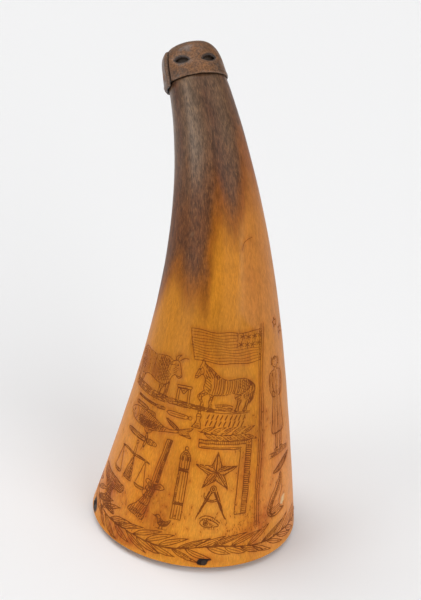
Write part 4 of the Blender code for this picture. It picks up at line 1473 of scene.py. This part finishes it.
class CapShape:
    """The leather cap's two skins, by an angle from the front and a run down from the crown."""

    def __init__(self, shape, settings):
        horn, cap = settings.horn, settings.cap
        self.horn, self.cap = horn, cap
        self.seat = shape.frame_at(horn.length)
        self.inner_height, self.height = cap_heights(settings)
        self.inner_radius = horn.neck_radius - horn.shoulder_step + cap.fit
        self.outer_radius = self.inner_radius + cap.wall
        levels = self.height * np.cos(np.linspace(0, math.pi / 2, 400))
        self.levels = np.append(levels, [-0.0005, -0.004])
        self.reaches = self.girth(self.levels)
        self.runs = np.append(0, np.cumsum(np.hypot(np.diff(self.reaches), np.diff(self.levels))))

    def girth(self, level):
        """Radius of the outer skin at a level above the cap's lower edge."""
        side = crown_radius(np.maximum(level, 0), self.outer_radius, self.height, self.cap.taper)
        return side + np.maximum(-level, 0) * 0.2

    def level_of(self, run):
        """Level at a run down from the crown."""
        return np.interp(run, self.runs, self.levels)

    def run_of(self, level):
        """Run down from the crown to a level."""
        return np.interp(-level, -self.levels, self.runs)

    def edge_level(self, angle):
        """Level of the lower edge, which hangs deeper at the flap."""
        turn = np.degrees(angle)
        flap = ramp(turn, FLAP_FAR_DEG - 7, FLAP_FAR_DEG + 5) * (turn < SLIT_DEG)
        ragged = 0.00014 * np.sin(turn * 0.21) + 0.00007 * np.sin(turn * 0.63 + 1)
        return ragged * 0.4 - flap * (FLAP_HANG + ragged)

    def seated(self, angle, radius, height):
        """World places from the cap's own cylinder."""
        own = round_place(angle, radius, height)
        own[..., 2] -= own[..., 0] * slope_at(self.horn, self.height, height)
        return own @ np.array(self.seat.to_3x3()).T + np.array(self.seat.translation)

    def outer_point(self, angle, run, rise=0.0):
        """Places on the outer skin, raised along its own slope."""
        down, out = (np.interp(run + 0.0003, self.runs, line) - np.interp(run - 0.0003, self.runs, line)
                     for line in (self.levels, self.reaches))
        lift = rise / np.maximum(np.hypot(down, out), 1e-12)
        level = self.level_of(run)
        radius = np.maximum(self.girth(level) - lift * down, 0)
        return self.seated(angle, radius, level + self.cap.fit + lift * out)

    def inner_point(self, angle, run, rise):
        """Places on the inner skin, which clears the spout and, at the flap, the neck."""
        level = self.level_of(run)
        inside = np.maximum(level, 0) * self.inner_height / self.height
        radius = crown_radius(inside, self.inner_radius, self.inner_height, self.cap.taper)
        over_neck = self.horn.neck_radius + self.cap.fit + np.maximum(-level, 0) * 0.16
        radius = radius + ramp(level, 0.0003, -0.0003) * (over_neck - radius)
        return self.seated(angle, radius + rise, np.where(level > 0, inside, level) + self.cap.fit)

    def lens_loop(self, centre_deg, rise_share, turn_deg):
        """Outline of a lens-shaped opening as angles and levels."""
        half, thick = self.cap.lens_length / 2, self.cap.lens_width / 2
        bow = (half ** 2 + thick ** 2) / (2 * thick)
        steps = math.asin(half / bow) * np.linspace(-1, 1, 13)[:-1]
        upper = columns(bow * np.sin(steps), bow * np.cos(steps) - bow + thick)
        across, up = turned(np.vstack([upper, -upper]), turn_deg).T
        level = self.height * rise_share - self.cap.fit + up
        return math.radians(centre_deg) + np.arcsin(across / self.girth(level)), level

    def outer_loop(self):
        """The lower edge all round, up one side of the slit and down the other."""
        slit, gap = math.radians(SLIT_DEG), self.cap.slit_width / 2
        half = gap / self.outer_radius
        turns = np.linspace(slit + half, slit - half + math.tau, 200)
        turns = np.where(turns > math.pi, turns - math.tau, turns)
        edge = self.edge_level(turns)
        edge[0] = self.edge_level(slit + half + 0.01)
        top = self.height * SLIT_TOP_SHARE
        left = np.linspace(edge[-1], top, 42)[1:]
        right = np.linspace(edge[0], top, 38)[:0:-1]
        turns = np.concatenate([turns, slit - gap / self.girth(left), [slit], slit + gap / self.girth(right)])
        return turns, np.concatenate([edge, left, [top + 0.0003], right])


def moulded_rise(cap, angle, run, edge_gap, lens_gap):
    """Dents, creases and rounded lips of the cap's outer skin."""
    turn = np.degrees(angle)
    share = cap.level_of(run) / cap.height
    flap = (turn < SLIT_DEG) * ramp(turn, FLAP_FAR_DEG, FLAP_FAR_DEG + 10)
    crease = np.sin(turn * 0.9) * bell(turn, -26, 17) * bell(share, 0.2, 0.13)
    return (FLAP_PROUD * flap * ramp(share, -0.3, 0) * (1 - ramp(share, 0.8, 0.85))
            + 0.00013 * np.sin(2 * angle + 0.7) * np.sin(share * 4.1 + 0.5)
            + 0.00006 * np.sin(7 * angle + 9 * share) * ramp(share, 1, 0.8)
            + 0.00009 * bell(turn, 3, 16) * bell(share, 0.52, 0.2)
            - 0.00075 * bell(lens_gap, 0, 0.0011)
            - 0.00034 * np.maximum(1 - edge_gap / 0.0007, 0) ** 2
            + 0.00012 * bell(edge_gap, 0.0012, 0.0006)
            + 0.00006 * crease - 0.0001 * bell(turn, 62, 9) * bell(share, 0.55, 0.2))


def leather_cap(shape, settings, material):
    """The cap: one fine skin outside, one inside, joined round the edge, the slit and both openings."""
    cap = CapShape(shape, settings)
    loops = [columns(angle, cap.run_of(level))
             for angle, level in (cap.outer_loop(), *(cap.lens_loop(*lens) for lens in LENSES))]
    flat_loops = [round_place(*loop.T) for loop in loops]
    trees = [search_tree(cap.outer_point(*places.T)) for places in (loops[0], np.vstack(loops[1:]))]

    def gaps(places):
        spots = cap.outer_point(*places.T)
        return [np.array([tree.find(spot)[2] for spot in spots]) for tree in trees]

    # Places on the skin, closer together beside the edges
    kept = list(loops)
    for gap, nearest, farthest in ((0.00028, 0.00018, 0.0009), (0.00052, 0.0008, 1)):
        rows = []
        for row, run in enumerate(np.arange(gap * 0.8, cap.runs[-1], gap * 0.87)):
            count = max(int(math.tau * np.interp(run, cap.runs, cap.reaches) / gap), 5)
            rows.append(columns(-math.pi + math.tau * (np.arange(count) + 0.5 * (row % 2)) / count, run))
        places = np.vstack(rows)
        clear = np.minimum(*gaps(places))
        good = on_leather(flat_loops, round_place(*places.T))
        kept.append(places[good & (clear > nearest) & (clear <= farthest)])
    kept = np.vstack(kept)
    edges, start = [], 0
    for loop in loops:
        edges += [(start + i, start + (i + 1) % len(loop)) for i in range(len(loop))]
        start += len(loop)
    order, triangles = triangulated(round_place(*kept.T) * 1000, edges, 1e-7)
    kept = kept[order]
    flat = round_place(*kept.T)
    triangles = triangles[on_leather(flat_loops, flat[triangles].mean(axis=1))]
    # Outer and inner skin
    angle, run = kept.T
    edge_gap, lens_gap = gaps(kept)
    worn = 0.7 * bell(edge_gap, 0, 0.0006) + 0.6 * bell(lens_gap, 0.0007, 0.0005)
    # Painted shade, named hollow: dark round the openings and along the edges, and over the whole inner skin
    # below
    hollow = bell(lens_gap, 0, 0.0006) + 0.35 * bell(edge_gap, 0, 0.0003)
    lips = 0.0003 * np.maximum(1 - np.minimum(edge_gap, lens_gap) / 0.0007, 0) ** 2
    rise = moulded_rise(cap, angle, run, edge_gap, lens_gap)
    skin = Skin()
    outside = skin.add_points(cap.outer_point(angle, run, rise), worn=worn, hollow=hollow,
                              straight=columns(angle * 0.012, run, 0))
    # The whole inner skin gets painted shade
    inside = skin.add_points(cap.inner_point(angle, run, lips), hollow=np.ones(len(run)))
    spread = 0.235 / cap.runs[-1]
    skin.add_faces(outside[triangles], flat[triangles] * spread + [0.25, 0.25])
    skin.add_faces(inside[triangles[:, ::-1]], flat[triangles[:, ::-1]] * spread + [0.75, 0.25])
    # The thickness of the leather, along every edge that only one triangle uses
    uses = dict.fromkeys(pair for trio in triangles.tolist() for pair in zip(trio, trio[1:] + trio[:1]))
    rim = [pair for pair in uses if pair[::-1] not in uses]
    faces, corners = [], []
    for index, (start, end) in enumerate(rim):
        left, right = (0.02 + 0.96 * (index + share) / len(rim) for share in (0, 0.9))
        faces += [(outside[start], inside[start], outside[end]), (outside[end], inside[start], inside[end])]
        corners += [((left, 0.6), (left, 0.7), (right, 0.6)), ((right, 0.6), (left, 0.7), (right, 0.7))]
    skin.add_faces(faces, corners)
    return skin.finish("leather_cap", material)


# Turned wood
class GrowthTree(Graph):
    """A Geometry Nodes tree in the making, with named inputs."""

    def __init__(self, name, inputs):
        super().__init__(bpy.data.node_groups.new(name, "GeometryNodeTree"))
        face = self.tree.interface
        face.new_socket("Geometry", in_out="OUTPUT", socket_type="NodeSocketGeometry")
        self.keys = {}
        for label, kind in {"Geometry": "Geometry", **inputs, "Finish": "Material"}.items():
            socket = face.new_socket(label, in_out="INPUT", socket_type="NodeSocket" + kind)
            self.keys[label] = socket.identifier
        given = self.node("NodeGroupInput").socket.node
        self.given = {socket.name: Signal(self, socket) for socket in given.outputs}

    def finish(self, shape):
        """Make copies real, give them their finish and hand them out."""
        real = self.node("GeometryNodeRealizeInstances", None, {"Geometry": shape})
        done = {"Geometry": real, "Material": self.given["Finish"]}
        done = self.node("GeometryNodeSetMaterial", None, done)
        self.node("NodeGroupOutput", None, {"Geometry": done})
        return self


def turning_tree():
    """Turns the outline of the piece it is given about Z. X is the radius and Z the height."""
    graph = GrowthTree("turning", {"Sides": "Int", "Lean": "Vector"})
    outline, sides = graph.given["Geometry"], graph.given["Sides"]
    rows = graph.node("GeometryNodeAttributeDomainSize", None, {"Geometry": outline})
    grid = graph.node("GeometryNodeMeshGrid", None, {"Size X": 1, "Size Y": 1, "Vertices X": sides + 1,
                                                     "Vertices Y": rows})
    index = graph.node("GeometryNodeInputIndex")
    place = graph.node("GeometryNodeInputPosition")
    sample = graph.node("GeometryNodeSampleIndex", {"data_type": "FLOAT_VECTOR"},
                        {"Geometry": outline, "Value": place, "Index": graph.math("MODULO", index, rows)})
    radius = graph.node("ShaderNodeSeparateXYZ", None, {0: sample})
    height = Signal(graph, radius.socket.node.outputs[2])
    turn = graph.math("FLOOR", index / rows) * math.tau / sides
    around = graph.node("ShaderNodeCombineXYZ", None, {0: graph.math("COSINE", turn) * radius,
                                                       1: graph.math("SINE", turn) * radius, 2: height})
    lean = {0: graph.given["Lean"], "Scale": height}
    lean = graph.node("ShaderNodeVectorMath", {"operation": "SCALE"}, lean)
    leaned = graph.node("ShaderNodeVectorMath", {"operation": "ADD"}, {0: around, 1: lean})
    moved = graph.node("GeometryNodeSetPosition", None, {"Geometry": grid, "Position": leaned})
    merged = graph.node("GeometryNodeMergeByDistance", None, {"Geometry": moved, "Distance": 1e-6})
    return graph.finish(graph.node("GeometryNodeSetShadeSmooth", None, {"Geometry": merged}))


def ring_tree():
    """Turns a peg from its outline and sets copies of it round a ring, each pointing outwards."""
    turning = turning_tree()
    graph = GrowthTree("pegs_round_rim", {"Pegs": "Int", "Ring radius": "Float", "First peg": "Float",
                                          "Sides": "Int", "Seed": "Int", "Middle": "Vector"})
    given = graph.given
    peg = graph.node("GeometryNodeGroup", {"node_tree": turning.tree},
                     {label: given[label] for label in ("Geometry", "Sides", "Finish")})
    ring = {"Vertices": given["Pegs"], "Radius": given["Ring radius"]}
    ring = graph.node("GeometryNodeMeshCircle", None, ring)
    turn = graph.node("ShaderNodeCombineXYZ", None, {2: given["First peg"]})
    placed = graph.node("GeometryNodeTransform", None, {"Geometry": ring, "Rotation": turn})
    place = graph.node("GeometryNodeInputPosition")
    outwards = graph.node("FunctionNodeAlignRotationToVector", {"axis": "Z"}, {"Vector": place})
    size = graph.node("FunctionNodeRandomValue", {"data_type": "FLOAT"},
                      {2: 0.94, 3: 1, "Seed": given["Seed"]}, 1)
    copies = graph.node("GeometryNodeInstanceOnPoints", None, {"Points": placed, "Instance": peg,
                                                               "Rotation": outwards, "Scale": size})
    moved = {"Geometry": copies, "Translation": given["Middle"]}
    return graph.finish(graph.node("GeometryNodeTransform", None, moved))


def grown_piece(name, outline, growth, values):
    """Run a Geometry Nodes tree on an outline of (radius, height) points and keep the plain mesh."""
    mesh = bpy.data.meshes.new(name + "_outline")
    edges = [(i, i + 1) for i in range(len(outline) - 1)]
    mesh.from_pydata([(radius, 0, height) for radius, height in outline], edges, [])
    piece = new_object(name, mesh)
    modifier = piece.modifiers.new("turning", "NODES")
    modifier.node_group = growth.tree
    for label, value in values.items():
        modifier[growth.keys[label]] = value
    view = bpy.context.evaluated_depsgraph_get()
    made = bpy.data.meshes.new_from_object(piece.evaluated_get(view), depsgraph=view)
    piece.modifiers.clear()
    piece.data = made
    point_outwards(made)
    if not made.polygons:
        raise RuntimeError(name + " came out empty")
    return piece


# Finishes
def horn_finish(colours):
    """Polished horn: honey to grey-brown, with fibres, ink in the cuts, old stains, and painted highlights and
    shade.
    """
    finish = Finish("aged_horn", **{"Coat Roughness": 0.38, "Coat IOR": 1.45, "IOR": 1.45,
                                    "Specular IOR Level": 0.12})
    mix, tint, between, stored = finish.mix, finish.tint, finish.between, finish.stored
    place = stored("straight", "Vector")
    fibre = finish.noise(place, (900, 900, 34), 4, 0.6)
    thread = finish.noise(place, (2600, 2600, 170), 2, 0.6)
    streak = finish.noise(place, (2300, 2300, 420), 3, 0.65)
    mottle = finish.noise(place, (620, 620, 210), 5, 0.65)
    cloud = finish.noise(place, (55, 55, 30), 3, 0.55)
    patch = finish.noise(place, (190, 190, 90), 3, 0.6)
    grain = finish.noise(place, (2600, 2600, 1700), 1)
    height = finish.node("ShaderNodeSeparateXYZ", None, {0: place}, 2)
    warm = stored("warm")
    # Clear horn, smoky horn and dark horn
    amber = mix(between(cloud, 0.3, 0.7), lighter(colours.amber, 0.88), lighter(colours.amber, 1.1))
    clear = mix(warm + (patch - 0.5) * 0.3, amber, colours.rose)
    # The light number brings paler horn and a painted highlight band along the rim
    clear = mix(stored("light") + (mottle - 0.5) * 0.5, clear, colours.honey)
    dark = stored("dark") + (fibre - 0.5) * 0.3 + (patch - 0.5) * 0.32
    body = mix(between(dark, 0.05, 0.55), clear, mix(warm, colours.umber, colours.sienna))
    dusk = mix(between(height + (patch - 0.5) * 0.03, 0.128, 0.166), colours.russet, colours.dark)
    dusk = mix(warm * 0.6, dusk, colours.chestnut)
    # Painted highlight: where the light number rises in dark horn, a grey column down the left of the neck
    dusk = mix(stored("light"), dusk, colours.neck_highlight)
    dusk = mix(between(streak, 0.56, 0.74) * 0.4, dusk, colours.fleck)
    body = mix(between(dark, 0.42, 0.98), body, dusk)
    # Fibres and wear, and a painted shading that is lighter low down and darker up the horn
    rough = between(streak * 0.5 + mottle * 0.5, 0.36, 0.64, 0.54, 1.42)
    worn = between(fibre * 0.5 + thread * 0.5, 0.3, 0.7, 0.84, 1.13)
    # The height factor is painted shading: lighter towards the rim, darker higher up
    worn = worn * (1 + (rough - 1) * between(dark, 0.3, 0.9, 0.35, 1)) * between(height, 0, 0.11, 1.18, 0.82)
    body = tint(1, body, finish.grey(worn))
    # Stains with painted shade, grime, ink, the spout painted dark as shade, sooty marks with painted shade,
    # and bare spots with a painted highlight
    # This number carries real stains and also painted shade: dark columns down the neck
    stains = stored("stain") * between(patch * 0.6 + fibre * 0.4, 0.34, 0.6, 0.25, 1)
    body = tint(stains, body, (0.62, 0.38, 0.30))
    grime = between(mottle * 0.6 + fibre * 0.4, 0.46, 0.66) * between(height, 0.095, 0.05, 0.10, 0.56)
    body = tint(grime, body, (0.62, 0.52, 0.36))
    body = tint(stored("haze") * between(patch, 0.3, 0.7, 0.3, 0.9), body, (0.80, 0.64, 0.52))
    inked = between(stored("ink"), 0.06, 0.48)
    body = mix(inked * between(patch, 0.28, 0.60, 0.78, 1), body, colours.ink)
    # Painted shade: the spout under the cap is made near black
    body = mix(between(height, 0.1862, 0.1876) * 0.88, body, colours.spout)
    # Real sooty smears, plus painted shade on the spout and beside the chip
    soot = between(stored("soot") + (patch - 0.5) * 0.5, 0.32, 0.7)
    body = mix(soot, body, colours.soot)
    body = mix(stored("pale"), body, colours.bare)
    finish.set("Base Color", tint(between(grain, 0.70, 0.80) * 0.35, body, (0.5, 0.36, 0.26)))
    finish.set("Roughness", between(fibre, 0.2, 0.8, 0.36, 0.48) + inked * 0.16)
    finish.set("Coat Weight", between(height, 0.125, 0.165, 0.05, 0.42) * (1 - inked) * (1 - soot))
    relief = finish.bump(thread, 0.00004, 0.5)
    finish.set("Normal", finish.bump(patch + fibre * 0.5, 0.00015, 0.3, relief))
    return finish.material


def leather_finish(colours):
    """Old moulded leather: brown with worn, greyish and orange patches, finely wrinkled, and painted shade
    round its openings, along its edges and inside.
    """
    finish = Finish("moulded_leather", **{"Coat Roughness": 0.27, "Specular IOR Level": 0.35})
    mix, between, stored = finish.mix, finish.between, finish.stored
    place = finish.node("ShaderNodeTexCoord", None, None, "Object")
    cloud = finish.noise(place, (95, 95, 130), 4, 0.6)
    patch = finish.noise(place, (330, 330, 330))
    pores = finish.noise(place, (1500, 1500, 1500), 2, 0.6)
    wrinkle = finish.noise(stored("straight", "Vector"), (1900, 560, 1), 3, 0.6)
    body = mix(between(patch, 0.36, 0.62), lighter(colours.leather, 0.66), lighter(colours.leather, 1.14))
    body = mix(between(cloud, 0.40, 0.64) * 0.8, body, colours.leather_orange)
    body = mix(between(cloud, 0.48, 0.32) * 0.5, body, colours.leather_grey)
    body = mix(between(stored("worn"), 0.1, 0.9) * 0.5, body, colours.leather_worn)
    # Painted shade: the hollow number darkens the openings' rims, the edges and the inside
    body = mix(between(stored("hollow"), 0.05, 0.9) * 0.9, body, colours.leather_shade)
    finish.set("Base Color", finish.tint(1, body, finish.grey(between(pores, 0.36, 0.64, 0.6, 1.3))))
    finish.set("Roughness", between(patch, 0.3, 0.7, 0.44, 0.60))
    finish.set("Coat Weight", between(patch, 0.62, 0.38, 0.06, 0.40))
    relief = finish.bump(wrinkle, 0.00022, 0.5, finish.bump(pores, 0.00006, 0.6))
    finish.set("Normal", finish.bump(patch, 0.0003, 0.3, relief))
    return finish.material


def wood_finish(name, colour, dryness):
    """Old wood with long grain, open pores and a little dirt."""
    finish = Finish(name, **{"Specular IOR Level": 0.3})
    between = finish.between
    place = finish.node("ShaderNodeTexCoord", None, None, "Object")
    sway = finish.noise(place, (18, 60, 60))
    swirled = finish.node("ShaderNodeVectorMath", {"operation": "MULTIPLY_ADD"},
                          {0: place, 1: (40, 620, 620), 2: finish.grey(sway * 6)})
    rings = finish.noise(swirled, (1, 1, 1), 3, 0.6)
    pores = finish.noise(place, (260, 3200, 3200), 2, 0.6)
    body = finish.mix(between(rings, 0.32, 0.68), lighter(colour, 0.6), lighter(colour, 1.25))
    finish.set("Base Color", finish.mix(between(pores, 0.62, 0.78) * 0.7, body, lighter(colour, 0.3)))
    finish.set("Roughness", between(rings, 0.2, 0.8, dryness, dryness + 0.16))
    finish.set("Normal", finish.bump(pores + rings * 0.6, 0.0001, 0.5))
    return finish.material


class POWDERHORN_OT_horn(bpy.types.Operator):
    """Make the hollow horn with its engraved skin"""

    bl_idname = "powderhorn.horn"
    bl_label = "Carved Horn"

    def execute(self, context):
        settings = context.scene.powder_horn
        shape = HornShape(settings.horn)
        engraving = Engraving(shape, settings.carving.seed)
        engraving.make()
        skin = Skin()
        rings = make_carved_skin(skin, shape, settings.horn, engraving.strokes, settings.carving.depth)
        make_horn_inside(skin, shape, settings, *rings)
        piece = skin.finish("carved_horn", horn_finish(settings.colours))
        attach(piece, "root")
        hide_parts("horn")
        return {"FINISHED"}


class POWDERHORN_OT_cap(bpy.types.Operator):
    """Make the leather cap on the tip"""

    bl_idname = "powderhorn.cap"
    bl_label = "Leather Cap"

    def execute(self, context):
        settings = context.scene.powder_horn
        piece = leather_cap(HornShape(settings.horn), settings, leather_finish(settings.colours))
        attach(piece, "root")
        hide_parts("tip_cap")
        return {"FINISHED"}


class POWDERHORN_OT_plug(bpy.types.Operator):
    """Turn the wooden plug in the horn's mouth"""

    bl_idname = "powderhorn.plug"
    bl_label = "Base Plug"

    def execute(self, context):
        settings = context.scene.powder_horn
        horn, plug, fit = settings.horn, settings.plug, settings.cap.fit
        shape = HornShape(horn)
        outline = [(0, 0.0005), (0.0006, 0.0004), (0.0012, 0)]
        for radius in (0.0095, 0.0178):
            outline += [(radius - 0.0004, 0), (radius, 0.00016), (radius + 0.0004, 0)]
        for side, share in ((-1, 0), (-0.6, 0.8), (0, 1), (0.6, 0.8), (1, 0)):
            outline.append((plug.groove_radius + side * plug.groove_width / 2, plug.groove_depth * share))
        inset = shape.chamber_radius(0) - fit - plug.foot_round
        for turn in np.radians(np.linspace(-90, 0, 7)):
            outline.append((inset + plug.foot_round * math.cos(turn), plug.foot_round * (1 + math.sin(turn))))
        for share in (0, 0.3, 0.6, 0.9):
            radius = shape.chamber_radius(plug.depth * share) - fit
            outline.append((radius, horn.rim_lift + plug.depth * share))
        top = horn.rim_lift + plug.depth
        outline += [(radius - 0.0004, top - 0.0003), (radius - 0.001, top), (0.004, top), (0, top)]
        lean = math.tan(math.radians(SIDE_LEAN[0])) * 0.8
        finish = wood_finish("turned_wood", settings.colours.wood, 0.5)
        piece = grown_piece("turned_plug", outline, turning_tree(),
                            {"Sides": PLUG_SIDES, "Lean": (lean, 0.0, 0.0), "Finish": finish})
        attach(piece, "root")
        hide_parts("base_plug")
        return {"FINISHED"}


class POWDERHORN_OT_pegs(bpy.types.Operator):
    """Set the pegs round the rim"""

    bl_idname = "powderhorn.pegs"
    bl_label = "Rim Pegs"

    def execute(self, context):
        settings = context.scene.powder_horn
        horn, plug = settings.horn, settings.plug
        shape = HornShape(horn)
        radius, depth = plug.peg_radius, plug.peg_length
        outline = [(0, -depth), (radius - 0.0003, -depth), (radius, 0.0003 - depth), (radius, -0.0002),
                   (radius - 0.0001, 0.00015), (radius * 0.7, 0.0003), (radius * 0.3, 0.00022), (0, 0.00026)]
        middle = shape.middle(plug.peg_rise).tolist()
        middle[2] = horn.rim_lift + plug.peg_rise
        finish = wood_finish("dark_wood", settings.colours.peg, 0.6)
        piece = grown_piece("rim_pegs", outline, ring_tree(), {
            "Pegs": plug.peg_count, "Ring radius": shape.radius(plug.peg_rise), "First peg": plug.first_peg,
            "Sides": PEG_SIDES, "Seed": 3, "Middle": middle, "Finish": finish})
        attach(piece, "root")
        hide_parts("rim_peg_front", "rim_peg_right", "rim_peg_back", "rim_peg_left")
        return {"FINISHED"}


class POWDERHORN_OT_stage(bpy.types.Operator):
    """Make the floor, the lights and the camera"""

    bl_idname = "powderhorn.stage"
    bl_label = "Stage"

    def execute(self, context):
        settings = context.scene.powder_horn
        stage = settings.stage
        mesh = bpy.data.meshes.new("floor")
        corners = [(x * FLOOR_HALF, y * FLOOR_HALF, 0) for x, y in ((-1, -1), (1, -1), (1, 1), (-1, 1))]
        mesh.from_pydata(corners, [], [(0, 1, 2, 3)])
        finish = Finish("pale_floor", **{"Base Color": (*settings.colours.floor, 1), "Roughness": 0.7,
                                         "Specular IOR Level": 0.2})
        mesh.materials.append(finish.material)
        floor = new_object("floor", mesh)
        world = bpy.data.worlds.new("soft_room")
        world.use_nodes = True
        background = world.node_tree.nodes["Background"]
        background.inputs["Color"].default_value = (1, 1, 1, 1)
        background.inputs["Strength"].default_value = stage.surround
        context.scene.world = world
        context.scene.view_settings.view_transform = "Standard"
        for name, place in SUNS:
            light = bpy.data.lights.new(name, "SUN")
            light.energy = getattr(stage, name)
            light.angle = getattr(stage, name + "_width")
            lamp = new_object(name, light)
            lamp.location = place
            lamp.rotation_euler = (-Vector(place)).to_track_quat("-Z", "Y").to_euler()
        camera = bpy.data.cameras.new("photo_camera")
        camera.lens = stage.lens
        camera.sensor_width = 36
        camera.sensor_fit = "AUTO"
        camera.clip_start = 0.01
        viewer = new_object("photo_camera", camera)
        turn = Matrix.Rotation(math.pi / 2 - stage.elevation, 4, "X") @ Matrix.Rotation(-stage.roll, 4, "Z")
        back = Matrix.Translation((0, 0, stage.distance))
        viewer.matrix_world = Matrix.Translation(CAMERA_TARGET) @ turn @ back
        context.scene.camera = viewer
        return {"FINISHED"}


class POWDERHORN_PT_panel(bpy.types.Panel):
    """Lists the pieces of the powder horn"""

    bl_idname = "POWDERHORN_PT_panel"
    bl_label = "Powder Horn"
    bl_space_type = "VIEW_3D"
    bl_region_type = "UI"
    bl_category = "Powder Horn"

    def draw(self, context):
        for kind in OPERATORS:
            self.layout.operator(kind.bl_idname)
        for part in ("horn", "carving", "cap", "plug", "colours", "stage"):
            group = getattr(context.scene.powder_horn, part)
            box = self.layout.box()
            box.label(text=part.capitalize())
            for name in group.bl_rna.properties.keys():
                if name not in ("rna_type", "name"):
                    box.prop(group, name)


OPERATORS = (POWDERHORN_OT_stage, POWDERHORN_OT_horn, POWDERHORN_OT_plug, POWDERHORN_OT_pegs,
             POWDERHORN_OT_cap)
CLASSES = (HornSizes, CarvingSizes, CapSizes, PlugSizes, Colours, StageSettings, PowderHornSettings,
           *OPERATORS, POWDERHORN_PT_panel)


def register():
    """Add the settings, the operators and the panel."""
    for kind in CLASSES:
        bpy.utils.register_class(kind)
    bpy.types.Scene.powder_horn = PointerProperty(type=PowderHornSettings)


def unregister():
    """Take them away again."""
    del bpy.types.Scene.powder_horn
    for kind in reversed(CLASSES):
        bpy.utils.unregister_class(kind)


def main():
    """Add the settings and make every piece."""
    register()
    bpy.ops.powderhorn.stage()
    bpy.ops.powderhorn.horn()
    bpy.ops.powderhorn.plug()
    bpy.ops.powderhorn.pegs()
    bpy.ops.powderhorn.cap()


if __name__ == "__main__":
    main()
